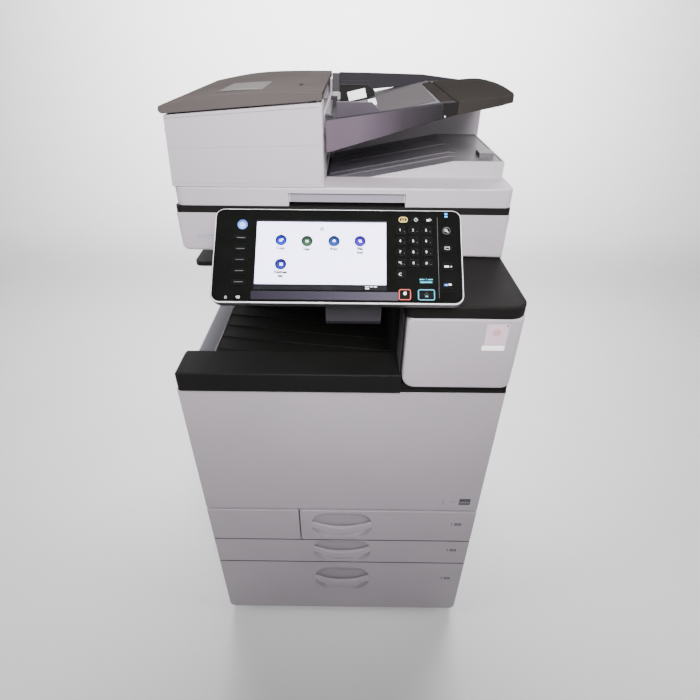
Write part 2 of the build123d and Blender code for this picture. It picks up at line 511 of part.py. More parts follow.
with BuildPart() as exit_roller:
    rod_y(EXIT_AXIS[0], EXIT_Y, EXIT_AXIS[1], EXIT_SHAFT)
    for roller_y in (-85.0, -10.0, 70.0, 145.0):
        rod_y(EXIT_AXIS[0], (roller_y - 10, roller_y + 10), EXIT_AXIS[1], 10.5)
save(exit_roller, "exit_roller")

with BuildPart() as upper_exit_tray:
    block((-SIDE_X + 4, LINING_X - 2), (SCANNER_FRONT + 34, OUT_BACK - SKIN), (901, 910))
    fillet(upper_exit_tray.edges().filter_by(Axis.Z).group_by(Axis.Y)[0], 14)
    fillet(upper_exit_tray.faces().sort_by(Axis.Z)[-1].edges(), 2)
    # hanging brackets up to the scanner's floor
    for bracket_x in (-255.0, 60.0):
        block((bracket_x, bracket_x + 20), (OUT_BACK - 60, OUT_BACK - SKIN), (908, TOWER_TOP - 1))
save(upper_exit_tray, "upper_exit_tray")

# ---- right-hand tower ---------------------------------------------------------------
TOWER_ROUND = 22.0                         # radius of the tower's larger corners
with BuildPart() as tower_cover:
    shoulder = TOWER_TOP - 21.5
    with BuildSketch(Plane(origin=(0, TOWER_FRONT, 0), x_dir=(1, 0, 0), z_dir=(0, -1, 0))) as face:
        Polygon((TOWER_X, TOWER_Z), (SIDE_X, TOWER_Z), (SIDE_X, shoulder), (TOWER_X, shoulder), align=None)
        fillet(face.vertices().group_by(Axis.X)[0].group_by(Axis.Y)[0], TOWER_ROUND)
        fillet(face.vertices().group_by(Axis.X)[0].group_by(Axis.Y)[-1], 12)
    extrude(amount=-40)
    fillet(tower_cover.edges().filter_by(Axis.Z).group_by(Axis.X)[-1].sort_by(Axis.Y)[:1], TOWER_ROUND)
    fillet(tower_cover.faces().sort_by(Axis.Y)[0].edges(), 5)
    # hollow behind the skin, kept clear of the rounded corners
    block((TOWER_X + TOWER_ROUND, SIDE_X - TOWER_ROUND), (TOWER_FRONT + SKIN, TOWER_FRONT + 41),
          (TOWER_Z + SKIN, shoulder + 1), Mode.SUBTRACT)
    block((TOWER_X + SKIN, SIDE_X - SKIN), (TOWER_FRONT + TOWER_ROUND, TOWER_FRONT + 41),
          (TOWER_Z + TOWER_ROUND, shoulder - 12), Mode.SUBTRACT)
    # side wall above the right door
    block((SIDE_X - SKIN, SIDE_X), (TOWER_FRONT + 39, COVER_Y[1]), (SIDE_DOOR_Z[1] + REVEAL + 4, shoulder))
save(tower_cover, "tower_cover")

with BuildPart() as tower_top_cover:
    block((LINING_X, SIDE_X), (TOWER_FRONT, COVER_Y[1]), (TOWER_TOP - 21, TOWER_TOP))
    front_edges = tower_top_cover.edges().filter_by(Axis.Z).group_by(Axis.Y)[0].sort_by(Axis.X)
    fillet(front_edges[-1:], 28)
    fillet(tower_top_cover.edges().filter_by(Axis.Z).group_by(Axis.Y)[0].sort_by(Axis.X)[:1], 16)
    fillet(tower_top_cover.faces().sort_by(Axis.Z)[-1].edges(), 4)
    block((LINING_X + SKIN, SIDE_X - SKIN), (TOWER_FRONT + 30, COVER_Y[1] - SKIN),
          (TOWER_TOP - 21, TOWER_TOP - SKIN), Mode.SUBTRACT)
    for mount_y in (-60.0, 280.0):
        rod_z(FRAME_X - POST / 2, mount_y, (TOWER_TOP - 10, TOWER_TOP), 9, Mode.SUBTRACT)
save(tower_top_cover, "tower_top_cover")

# ---- scanner ------------------------------------------------------------------------
SCANNER_LEFT_Z = 948.0                     # the housing's lower edge rises to the left
SCANNER_RIGHT_Z = TOWER_TOP + 0.5
GLASS_X = (-200.0, 236.0)
SLIT_X = (-236.0, -214.0)
GLASS_Y = (-88.0, 218.0)
GLASS_THICK = 3.0
TUB_Z = 958.0                              # floor inside the scanner

with BuildPart() as scanner_housing:
    slab_xz([(-SIDE_X, SCANNER_LEFT_Z), (SIDE_X, SCANNER_RIGHT_Z), (SIDE_X, SCANNER_TOP), (-SIDE_X, SCANNER_TOP)],
            (SCANNER_FRONT, REAR_Y))
    fillet(scanner_housing.edges().filter_by(Axis.Y).group_by(Axis.X)[0].sort_by(Axis.Z)[:1], 12)
    fillet(scanner_housing.edges().filter_by(Axis.Z).group_by(Axis.Y)[0], 6)
    block((-SIDE_X + SKIN, SIDE_X - SKIN), (SCANNER_FRONT + SKIN, REAR_Y - SKIN), (TUB_Z, SCANNER_TOP),
          Mode.SUBTRACT)
    # rails that carry the exposure carriage
    for rail_y in (SCANNER_FRONT + 14, REAR_Y - 96):
        block((-260, 270), (rail_y, rail_y + 6), (TUB_Z, TUB_Z + 20))
save(scanner_housing, "scanner_housing")

FEEDER_AXIS_Y = FEEDER_BACK + 10.5         # hinge line of the document feeder
FEEDER_AXIS_Z = PLATEN_TOP + 10.0
FEEDER_PIN = 4.0
HINGE_X = 170.0

with BuildPart() as scanner_top_frame:
    block((-SIDE_X + 1, SIDE_X - 1), (SCANNER_FRONT + 1, REAR_Y - 1), (SCANNER_TOP, PLATEN_TOP))
    fillet(scanner_top_frame.edges().filter_by(Axis.Z), 6)
    for window_x in (GLASS_X, SLIT_X):
        block(window_x, GLASS_Y, (PLATEN_TOP - GLASS_THICK, PLATEN_TOP), Mode.SUBTRACT)
        block((window_x[0] + 3, window_x[1] - 3), (GLASS_Y[0] + 3, GLASS_Y[1] - 3), (SCANNER_TOP, PLATEN_TOP),
              Mode.SUBTRACT)
    for side in (-1, 1):
        lug = sorted((side * (HINGE_X - 10), side * (HINGE_X - 2)))
        block(lug, (FEEDER_AXIS_Y - 9, FEEDER_AXIS_Y + 9), (SCANNER_TOP + 2, FEEDER_AXIS_Z))
        rod_x(lug, FEEDER_AXIS_Y, FEEDER_AXIS_Z, 9)
        rod_x(lug, FEEDER_AXIS_Y, FEEDER_AXIS_Z, FEEDER_PIN + HOLE_PLAY, Mode.SUBTRACT)
save(scanner_top_frame, "scanner_top_frame")

with BuildPart() as platen_glass:
    for window_x in (GLASS_X, SLIT_X):
        block(window_x, GLASS_Y, (PLATEN_TOP - GLASS_THICK, PLATEN_TOP))
save(platen_glass, "platen_glass")

with BuildPart() as scan_carriage:
    block((-238, -204), (SCANNER_FRONT + 12, REAR_Y - 88), (TUB_Z + 21, TUB_Z + 30))
    block((-238, -204), (SCANNER_FRONT + 26, REAR_Y - 102), (TUB_Z + 8, TUB_Z + 46))
    block((-226, -216), (SCANNER_FRONT + 40, REAR_Y - 116), (TUB_Z + 30, TUB_Z + 46), Mode.SUBTRACT)
save(scan_carriage, "scan_carriage")

# ---- document feeder ----------------------------------------------------------------
BASE_LOW = PLATEN_TOP + 1.0
LEDGE_Y = FRONT_Y + 240.0                  # back of the flat ledge before the exit tray
EXIT_LOW = 1049.0                          # exit tray surface at the feeder
EXIT_HIGH = 1092.0                         # exit tray surface at its right plateau
PLATEAU_X = 198.0

with BuildPart() as adf_base:
    block((-SIDE_X + 3, SIDE_X), (SCANNER_FRONT, FEEDER_BACK), (BASE_LOW, FEEDER_BASE_TOP))
    fillet(adf_base.edges().filter_by(Axis.Z).group_by(Axis.Y)[0], 16)
    fillet(adf_base.edges().filter_by(Axis.Z).group_by(Axis.Y)[-1], 8)
    fillet(adf_base.faces().sort_by(Axis.Z)[-1].edges(), 3)
    block((-SIDE_X + 9, SIDE_X - 6), (LEDGE_Y + 2, FEEDER_WALL_Y), (BASE_LOW + 5, FEEDER_BASE_TOP),
          Mode.SUBTRACT)
    # raised curb around the right end of the exit tray
    slab_xz([(FEEDER_RIGHT + 4, FEEDER_BASE_TOP - 20), (46, FEEDER_BASE_TOP), (PLATEAU_X, EXIT_HIGH),
             (SIDE_X - 6, EXIT_HIGH), (SIDE_X - 6, FEEDER_BASE_TOP - 20)], (LEDGE_Y, LEDGE_Y + 3))
    block((SIDE_X - 9, SIDE_X - 6), (LEDGE_Y, FEEDER_WALL_Y), (FEEDER_BASE_TOP - 20, EXIT_HIGH))
    # grip under the front edge for lifting the feeder
    with BuildSketch(Plane(origin=(7, SCANNER_FRONT, BASE_LOW), x_dir=(1, 0, 0), z_dir=(0, -1, 0))):
        with BuildLine():
            Polyline((-101, 0), (-101, 22), (101, 22), (101, 0), close=True)
        make_face()
    extrude(amount=-5, mode=Mode.SUBTRACT)
    block((-94, 108), (SCANNER_FRONT - 1, SCANNER_FRONT + 26), (BASE_LOW - 1, BASE_LOW + 6.2), Mode.SUBTRACT)
    # hinge ears and pins
    for side in (-1, 1):
        ear = sorted((side * (HINGE_X + 0.5), side * (HINGE_X + 9)))
        pin = sorted((side * (HINGE_X - 12), side * (HINGE_X + 9)))
        block(ear, (FEEDER_BACK - 2, FEEDER_AXIS_Y), (FEEDER_AXIS_Z - 4, FEEDER_AXIS_Z + 8))
        rod_x(ear, FEEDER_AXIS_Y, FEEDER_AXIS_Z, 8)
        rod_x(pin, FEEDER_AXIS_Y, FEEDER_AXIS_Z, FEEDER_PIN)
save(adf_base, "adf_base")

RAIL_START = FEEDER_RIGHT + 17             # left end of the document tray's rear rail
LEFT_TOP = 1173.0                          # feeder housing's top edge at the left
RIGHT_TOP = 1193.0                         # and at the right
HOUSING_X = (-290.0, -283.0)               # left wall at its foot and at its top
TRAY_AXIS = (FEEDER_RIGHT + 8, 1163.0)     # (x, z) of the document tray's pivot
TRAY_PIN = 2.5
TRAY_LUG_Y = (-60.0, 180.0)
ROLLER_AXIS = (-55.0, 1176.0)
ROLLER_SHAFT = 4.0
ROLLER_Y = (20.0, 130.0)
COVER_AXIS = (-283.0, 1181.5)              # (x, z) of the top cover's hinge
COVER_NOSE = 6.0
COVER_PIN = 2.0
COVER_LUG_Y = (-75.0, 210.0)

with BuildPart() as adf_housing:
    slab_xz([(HOUSING_X[0], FEEDER_BASE_TOP), (HOUSING_X[1], LEFT_TOP), (FEEDER_RIGHT, RIGHT_TOP),
             (FEEDER_RIGHT, FEEDER_BASE_TOP)], (SCANNER_FRONT, FEEDER_BACK))
    fillet(adf_housing.edges().filter_by(Axis.Z).group_by(Axis.Y)[0], 5)
    slab_xz([(HOUSING_X[0] + SKIN, FEEDER_BASE_TOP), (HOUSING_X[1] + SKIN, LEFT_TOP + 1),
             (FEEDER_RIGHT - SKIN, RIGHT_TOP + 1), (FEEDER_RIGHT - SKIN, FEEDER_BASE_TOP)],
            (SCANNER_FRONT + SKIN, FEEDER_BACK - SKIN), Mode.SUBTRACT)
    # document slot towards the tray
    block((FEEDER_RIGHT - SKIN, FEEDER_RIGHT), (-85, 235), (1168, RIGHT_TOP + 2), Mode.SUBTRACT)
    # paper exit over the exit tray
    block((FEEDER_RIGHT - SKIN, FEEDER_RIGHT), (-40, 195), (FEEDER_BASE_TOP + 6, FEEDER_BASE_TOP + 24),
          Mode.SUBTRACT)
    # rear section beside the trays
    slab_xz([(FEEDER_RIGHT - 1, FEEDER_BASE_TOP), (FEEDER_RIGHT - 1, 1110), (149, 1165), (SIDE_X, 1166),
             (SIDE_X, FEEDER_BASE_TOP)], (FEEDER_WALL_Y, FEEDER_BACK))
    slab_xz([(FEEDER_RIGHT + 2, FEEDER_BASE_TOP), (FEEDER_RIGHT + 2, 1106), (149, 1161), (SIDE_X - 3, 1162),
             (SIDE_X - 3, FEEDER_BASE_TOP)], (FEEDER_WALL_Y + SKIN, FEEDER_BACK - SKIN), Mode.SUBTRACT)
    # inner deck that carries the feed roller, and the roller's bearings
    block((HOUSING_X[0] + 4, FEEDER_RIGHT), (SCANNER_FRONT + 1, FEEDER_BACK - 1), (1150, 1153))
    for lug_y in (ROLLER_Y[0] + 4, ROLLER_Y[1] - 10):
        block((ROLLER_AXIS[0] - 8, ROLLER_AXIS[0] + 8), (lug_y, lug_y + 6), (1152, ROLLER_AXIS[1] + 7))
        rod_y(ROLLER_AXIS[0], (lug_y, lug_y + 6), ROLLER_AXIS[1], ROLLER_SHAFT + HOLE_PLAY, Mode.SUBTRACT)
    # lugs that carry the document tray
    for lug_y in TRAY_LUG_Y:
        block((FEEDER_RIGHT - 1, TRAY_AXIS[0]), (lug_y - 4, lug_y + 4), (TRAY_AXIS[1] - 4, TRAY_AXIS[1] + 4))
        rod_y(TRAY_AXIS[0], (lug_y - 4, lug_y + 4), TRAY_AXIS[1], 4)
        rod_y(TRAY_AXIS[0], (lug_y - 4, lug_y + 4), TRAY_AXIS[1], TRAY_PIN + HOLE_PLAY, Mode.SUBTRACT)
    # rear tab that closes the gap between the housing and the document tray's rail
    block((FEEDER_RIGHT - 1, RAIL_START + 7), (FEEDER_BACK - 1.5, FEEDER_BACK), (1110, 1190))
    block((FEEDER_RIGHT + 0.6, RAIL_START + 7), (FEEDER_BACK - 1.5, FEEDER_BACK), (1189, 1203))
    # lugs that carry the top cover
    for lug_y in COVER_LUG_Y:
        block((COVER_AXIS[0] - 3.5, COVER_AXIS[0] + 3.5), (lug_y - 4, lug_y + 4), (LEFT_TOP - 20, COVER_AXIS[1]))
        rod_y(COVER_AXIS[0], (lug_y - 4, lug_y + 4), COVER_AXIS[1], 3.5)
        rod_y(COVER_AXIS[0], (lug_y - 4, lug_y + 4), COVER_AXIS[1], COVER_PIN + HOLE_PLAY, Mode.SUBTRACT)
save(adf_housing, "adf_housing")

with BuildPart() as feed_roller:
    rod_y(ROLLER_AXIS[0], ROLLER_Y, ROLLER_AXIS[1], ROLLER_SHAFT)
    rod_y(ROLLER_AXIS[0], (48, 102), ROLLER_AXIS[1], 13)
save(feed_roller, "feed_roller")


def cover_outline():
    """Side profile of the feeder's top cover: round nose, long crowned top, flat underside."""
    x, z = COVER_AXIS
    with BuildLine() as outline:
        Spline((x, z + COVER_NOSE), (-204, HEIGHT - 6), (-138, HEIGHT - 1.2), (FEEDER_RIGHT, HEIGHT),
               tangents=[(1, 0.18), (1, 0)])
        Line((FEEDER_RIGHT, HEIGHT), (FEEDER_RIGHT, RIGHT_TOP + 3))
        Line((FEEDER_RIGHT, RIGHT_TOP + 3), (x, z - COVER_NOSE))
        ThreePointArc((x, z - COVER_NOSE), (x - COVER_NOSE, z), (x, z + COVER_NOSE))
    make_face(outline.edges())


with BuildPart() as adf_top_cover:
    with BuildSketch(Plane(origin=(0, SCANNER_FRONT - 2, 0), x_dir=(1, 0, 0), z_dir=(0, -1, 0))):
        cover_outline()
    extrude(amount=-(FEEDER_BACK - SCANNER_FRONT + 3))
    with BuildSketch(Plane(origin=(0, SCANNER_FRONT + 2, 0), x_dir=(1, 0, 0), z_dir=(0, -1, 0))):
        with BuildLine():
            Polyline((-268, 1170), (-268, 1187), (-205, 1196), (-138, 1202),
                     (FEEDER_RIGHT - 5, 1203), (FEEDER_RIGHT - 5, 1170), close=True)
        make_face()
    extrude(amount=-(FEEDER_BACK - SCANNER_FRONT - 5), mode=Mode.SUBTRACT)
    # document slot and latch lever recess
    block((FEEDER_RIGHT - 6, FEEDER_RIGHT), (-85, 235), (1180, 1199), Mode.SUBTRACT)
    block((-78, -48), (-40, -4), (HEIGHT - 2, HEIGHT + 1), Mode.SUBTRACT)
    for lug_y in COVER_LUG_Y:
        block((COVER_AXIS[0] - 8, COVER_AXIS[0] + 9), (lug_y - 5, lug_y + 5), (LEFT_TOP, COVER_AXIS[1] + 5),
              Mode.SUBTRACT)
        rod_y(COVER_AXIS[0], (lug_y - 6, lug_y + 6), COVER_AXIS[1], COVER_PIN)
save(adf_top_cover, "adf_top_cover")

with BuildPart() as adf_exit_tray:
    top = [(FEEDER_RIGHT + 3, EXIT_LOW), (PLATEAU_X, EXIT_HIGH - 1), (SIDE_X - 10, EXIT_HIGH - 1)]
    bottom = [(x, z - SKIN) for x, z in reversed(top)]
    slab_xz(top + bottom, (LEDGE_Y + 4, FEEDER_WALL_Y - 1))
    for rib_y in (-16, 16, 90, 150):
        rib = [(FEEDER_RIGHT + 4, EXIT_LOW + 2), (PLATEAU_X, EXIT_HIGH + 1), (PLATEAU_X + 20, EXIT_HIGH - 1.5),
               (PLATEAU_X, EXIT_HIGH - 2.5), (FEEDER_RIGHT + 4, EXIT_LOW - 1)]
        slab_xz(rib, (rib_y - 1, rib_y + 1))
    # sheet stopper at the right end
    with Locations((262, LEDGE_Y + 50, EXIT_HIGH - 2)):
        Box(26, 34, 9, align=(Align.CENTER, Align.CENTER, Align.MIN))
save(adf_exit_tray, "adf_exit_tray")

# document tray: front and rear walls, sloping floor
TRAY_LEFT = FEEDER_RIGHT + 4
TRAY_RIGHT = 176.0
SURFACE = [(TRAY_LEFT, 1148.5), (TRAY_RIGHT, 1191.7)]
UNDER = [(TRAY_LEFT, 1115.5), (60, 1140), (106, 1153.5), (TRAY_RIGHT, 1174)]
TRAY_BACK = FEEDER_BACK - 2.5              # in front of the housing's rear tab
RAIL_END = 256.0
WING_AXIS = (TRAY_RIGHT + 1.5, 1189.5)     # (x, z) of the extension's hinge
WING_PIN = 1.5
KNUCKLE = 3.5
WING_LEFT = TRAY_RIGHT + 6.0
WING_BACK = 198.0
WING_PLAN = [(WING_LEFT, FEEDER_TRAY_FRONT), (250, FEEDER_TRAY_FRONT + 9), (273, -94), (281, -60), (288, 30),
             (289, 92), (284, 150), (276, 184), (262, WING_BACK), (WING_LEFT, WING_BACK)]


def surface_z(x):
    """Height of the document tray's floor at x."""
    (x0, z0), (x1, z1) = SURFACE
    return z0 + (z1 - z0) * (x - x0) / (x1 - x0)


with BuildPart() as adf_input_tray:
    tray_y = (FEEDER_TRAY_FRONT, TRAY_BACK)
    wall = UNDER + [(TRAY_RIGHT, 1193), (158, 1191.3), (TRAY_LEFT, 1165.5)]
    slab_xz(wall, (tray_y[0], tray_y[0] + 4))
    slab_xz([SURFACE[0], SURFACE[1], (TRAY_RIGHT, 1187.7), (TRAY_LEFT, 1144.5)], tray_y)
    slab_xz([(RAIL_START, 1166), (TRAY_RIGHT, 1184), (RAIL_END, 1186.5), (RAIL_END, 1190.5), (244, 1193.5),
             (166, 1202), (50, 1204.5), (RAIL_START, 1205)], (tray_y[1] - 5, tray_y[1]))
    block((TRAY_RIGHT - 1, RAIL_END), (tray_y[1] - 57, tray_y[1]), (1186.5, 1190.5))
    # notches, cheeks and pins at the pivot
    for lug_y in TRAY_LUG_Y:
        block((TRAY_LEFT - 1, TRAY_AXIS[0] + 8), (lug_y - 5, lug_y + 5), (1140, 1170), Mode.SUBTRACT)
        for side in (-1, 1):
            cheek = sorted((lug_y + side * 4.5, lug_y + side * 9))
            block((TRAY_LEFT, TRAY_AXIS[0] + 6), cheek, (1148, TRAY_AXIS[1] + 3))
        rod_y(TRAY_AXIS[0], (lug_y - 8, lug_y + 8), TRAY_AXIS[1], TRAY_PIN)
    # room for the extension's knuckles
    for knuckle_y in ((-88.5, -11.5), (21.5, 88.5)):
        block((TRAY_RIGHT - 2.6, TRAY_RIGHT + 1), knuckle_y, (1180, 1194), Mode.SUBTRACT)
    # knuckles of the extension's hinge
    for knuckle_y in ((tray_y[0], -90), (-10, 20), (90, 100)):
        block((TRAY_RIGHT - 4, WING_AXIS[0]), knuckle_y, (1183, WING_AXIS[1]))
        rod_y(WING_AXIS[0], knuckle_y, WING_AXIS[1], KNUCKLE)
        rod_y(WING_AXIS[0], knuckle_y, WING_AXIS[1], WING_PIN + HOLE_PLAY, Mode.SUBTRACT)
save(adf_input_tray, "adf_input_tray")

FENCE_X = (-11.0, 60.0)
FENCE_TOP = 1190.0
for name, fence_y, foot in (("adf_front_fence", -94.0, 1), ("adf_rear_fence", 242.0, -1)):
    with BuildPart() as fence:
        left, right = FENCE_X
        slab_xz([(left, surface_z(left) + 0.6), (right, surface_z(right) + 0.6), (right, 1178),
                 (right - 14, FENCE_TOP), (left, FENCE_TOP)], (fence_y - 1.5, fence_y + 1.5))
        foot_y = sorted((fence_y, fence_y + foot * 34))
        slab_xz([(left, surface_z(left) + 0.6), (right - 10, surface_z(right - 10) + 0.6),
                 (right - 10, surface_z(right - 10) + 3), (left, surface_z(left) + 3)], foot_y)
    save(fence, name)

def wing_shape(profile, inset):
    """Intersection of the wing's side profile with its plan, shrunk by inset."""
    with BuildPart() as wing:
        slab_xz(profile, (FEEDER_TRAY_FRONT - 1, WING_BACK + 1))
        with BuildSketch(Plane.XY.offset(1160)) as plan:
            Polygon(*WING_PLAN, align=None)
            if inset:
                offset(amount=-inset)
        extrude(plan.sketch, amount=60, mode=Mode.INTERSECT)
    return wing.part


with BuildPart() as adf_extension:
    add(wing_shape([(WING_LEFT, 1175), (268, 1190), (292, 1193.5), (292, 1202), (266, 1200.5),
                    (WING_LEFT + 3, 1194), (WING_LEFT, 1192)], 0))
    add(wing_shape([(WING_LEFT, 1171), (268, 1186), (292, 1189.5), (292, 1198.5), (266, 1197),
                    (WING_LEFT, 1190)], SKIN), mode=Mode.SUBTRACT)
    for knuckle_y in ((-88, -12), (22, 88)):
        block((WING_AXIS[0], WING_LEFT + 1), knuckle_y, (WING_AXIS[1] - 2.5, WING_AXIS[1]))
        rod_y(WING_AXIS[0], knuckle_y, WING_AXIS[1], KNUCKLE)
    rod_y(WING_AXIS[0], (FEEDER_TRAY_FRONT + 1, 99), WING_AXIS[1], WING_PIN)
save(adf_extension, "adf_extension")

# ---- operation panel ----------------------------------------------------------------
TILT = 46.0                                # lean of the panel's face back from vertical
PANEL_CENTRE = (-4.5, FRONT_Y + 9.0, 1010.0)
PANEL_W = 368.0
PANEL_H = 145.0
PANEL_R = 12.0
FACE_THICK = 3.0
SHELL_DEPTH = 22.0
DISPLAY = (-25.0, 0.0, 196.0, 108.0)       # centre x, centre y, width, height on the face
PANEL = Plane(origin=PANEL_CENTRE, x_dir=(1, 0, 0), z_dir=(0, -cos(radians(TILT)), sin(radians(TILT))))
PANEL_NORMAL = Axis(PANEL.origin, PANEL.z_dir)
PANEL_PIVOT = (-10.0, -31.0)               # along the slope and behind the face
KEY_PLAY = 0.35
KEY_PROUD = 0.9
ARM_X = (-26.0, 66.0)
ARM_PIN = 4.0

# key centres and sizes on the face, measured from the panel's centre
PITCH_X = 19.4
PITCH_Y = 17.4
NUMBER_LEFT = 94.5
NUMBER_TOP = 40.8
NUMBER_SIZE = (15.0, 12.0)
NUMBER_NAMES = ("1", "2", "3", "4", "5", "6", "7", "8", "9", "star", "0", "hash")
NUMBER_KEYS = {
    f"number_key_{text}": (NUMBER_LEFT + PITCH_X * (i % 3), NUMBER_TOP - PITCH_Y * (i // 3))
    for i, text in enumerate(NUMBER_NAMES)
}
START_KEY = (130.5, -60.5, 25.0, 17.0)
STOP_KEY = (99.0, -60.5, 18.0, 17.0)
POWER_KEY = (-144.0, 47.8, 7.5)
LEFT_KEYS = [(-145.2, 25.9 - PITCH_Y * i, 22.0, 9.5) for i in range(5)]
RIGHT_KEYS = [(163.0, 40.5 - 28.3 * i, 14.0, 12.0) for i in range(4)]
TOP_KEYS = [(98.0 + 19.0 * i, 57.8, 13.0, 8.5) for i in range(3)]
EXTRA_KEYS = [(94.0, -29.1, 15.0, 12.0), (130.5, -38.8, 22.0, 9.5)]
FUNCTION_KEYS = LEFT_KEYS + RIGHT_KEYS + TOP_KEYS + EXTRA_KEYS


def key_shapes(keys, grow):
    """Rounded outlines of rectangular keys, each larger by grow on every side."""
    for x, y, width, height in keys:
        with Locations((x, y)):
            RectangleRounded(width + 2 * grow, height + 2 * grow, 2 + grow)


number_outlines = [(x, y, *NUMBER_SIZE) for x, y in NUMBER_KEYS.values()]

with BuildPart() as panel_face:
    with BuildSketch(PANEL.offset(-FACE_THICK)):
        RectangleRounded(PANEL_W, PANEL_H, PANEL_R)
        with Locations(DISPLAY[:2]):
            RectangleRounded(DISPLAY[2], DISPLAY[3], 1.5, mode=Mode.SUBTRACT)
    extrude(amount=FACE_THICK)
    with BuildSketch(PANEL.offset(-FACE_THICK)):
        key_shapes(number_outlines + [START_KEY, STOP_KEY] + FUNCTION_KEYS, KEY_PLAY)
        with Locations(POWER_KEY[:2]):
            Circle(POWER_KEY[2] + KEY_PLAY)
    extrude(amount=FACE_THICK, mode=Mode.SUBTRACT)
save(panel_face, "panel_face")

with BuildPart() as panel_shell:
    with BuildSketch(PANEL.offset(-SHELL_DEPTH)):
        RectangleRounded(PANEL_W + 5, PANEL_H + 5, PANEL_R + 2.5)
    extrude(amount=SHELL_DEPTH - FACE_THICK)
    fillet(panel_shell.faces().sort_by(PANEL_NORMAL)[0].edges(), 8)
    with BuildSketch(PANEL.offset(-SHELL_DEPTH + SKIN)):
        RectangleRounded(PANEL_W - 4, PANEL_H - 4, PANEL_R - 2)
    extrude(amount=SHELL_DEPTH, mode=Mode.SUBTRACT)
    # hinge ears and the pin that turns in the arm
    ears = [(ARM_X[0] - 10, ARM_X[0] - 1), (ARM_X[1] + 1, ARM_X[1] + 10)]
    for ear in ears:
        middle = (ear[0] + ear[1]) / 2 - PANEL_CENTRE[0]
        with BuildSketch(PANEL.offset(-SHELL_DEPTH + 1)):
            with Locations((middle, PANEL_PIVOT[0])):
                Rectangle(9, 16)
        extrude(amount=PANEL_PIVOT[1] + SHELL_DEPTH - 1)
        pivot = PANEL.from_local_coords((0, PANEL_PIVOT[0], PANEL_PIVOT[1]))
        rod_x(ear, pivot.Y, pivot.Z, 8)
    rod_x((ears[0][0], ears[1][1]), pivot.Y, pivot.Z, ARM_PIN)
save(panel_shell, "panel_shell")

with BuildPart() as display:
    with BuildSketch(PANEL.offset(-FACE_THICK)):
        with Locations(DISPLAY[:2]):
            RectangleRounded(DISPLAY[2] - 0.4, DISPLAY[3] - 0.4, 1.5)
    extrude(amount=FACE_THICK - 0.4)
    with BuildSketch(PANEL.offset(-FACE_THICK - 7)):
        with Locations(DISPLAY[:2]):
            Rectangle(DISPLAY[2] + 10, DISPLAY[3] + 8)
    extrude(amount=7)
save(display, "display")


def key(name, outline):
    """One travelling key: the outline function draws it, and a stem passes the face."""
    with BuildPart() as cap:
        with BuildSketch(PANEL.offset(-FACE_THICK - 0.4)):
            outline()
        extrude(amount=FACE_THICK + 0.4 + KEY_PROUD)
        fillet(cap.faces().sort_by(PANEL_NORMAL)[-1].edges(), 0.5)
    save(cap, name)


for name, (key_x, key_y) in NUMBER_KEYS.items():
    key(name, lambda: key_shapes([(key_x, key_y, *NUMBER_SIZE)], 0))
key("start_key", lambda: key_shapes([START_KEY], 0))
key("stop_key", lambda: key_shapes([STOP_KEY], 0))


def power_outline():
    """Round outline of the power key."""
    with Locations(POWER_KEY[:2]):
        Circle(POWER_KEY[2])


key("power_key", power_outline)

with BuildPart() as function_keys:
    with BuildSketch(PANEL.offset(-FACE_THICK - 0.4)):
        key_shapes(FUNCTION_KEYS, 0)
    extrude(amount=FACE_THICK + 0.4 + KEY_PROUD - 0.3)
save(function_keys, "function_keys")

with BuildPart() as panel_arm:
    pivot = PANEL.from_local_coords((0, PANEL_PIVOT[0], PANEL_PIVOT[1]))
    slab_yz([(-62, 936), (-62, 923), (-122, 916), (-225, 880), (-258, 872), (-266, 882),
             (pivot.Y, pivot.Z - 7), (pivot.Y + 7, pivot.Z + 2), (SCANNER_FRONT - 40, 936)], ARM_X)
    rod_x(ARM_X, pivot.Y, pivot.Z, 7.5)
    rod_x(ARM_X, pivot.Y, pivot.Z, ARM_PIN + HOLE_PLAY, Mode.SUBTRACT)
save(panel_arm, "panel_arm")
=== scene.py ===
"""Looks of a floor-standing colour photocopier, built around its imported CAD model.

The frame is the CAD model's own: +Z up, -Y towards the user. Outlines, places and sizes of
the added pieces are written in millimetres and become metres when a piece is built.
"""

from math import cos, pi, radians, sin

import bmesh
import bpy
from mathutils import Matrix, Vector


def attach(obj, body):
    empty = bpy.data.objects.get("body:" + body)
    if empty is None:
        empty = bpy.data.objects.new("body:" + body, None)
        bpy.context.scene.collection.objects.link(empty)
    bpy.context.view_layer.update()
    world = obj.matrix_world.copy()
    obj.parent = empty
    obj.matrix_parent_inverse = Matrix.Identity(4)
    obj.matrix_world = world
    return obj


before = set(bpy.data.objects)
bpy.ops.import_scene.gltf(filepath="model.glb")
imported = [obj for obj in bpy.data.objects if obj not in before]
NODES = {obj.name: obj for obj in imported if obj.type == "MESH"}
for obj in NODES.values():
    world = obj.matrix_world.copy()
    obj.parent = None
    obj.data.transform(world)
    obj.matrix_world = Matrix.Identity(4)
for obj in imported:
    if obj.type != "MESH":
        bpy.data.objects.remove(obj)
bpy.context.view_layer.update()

MM = 0.001

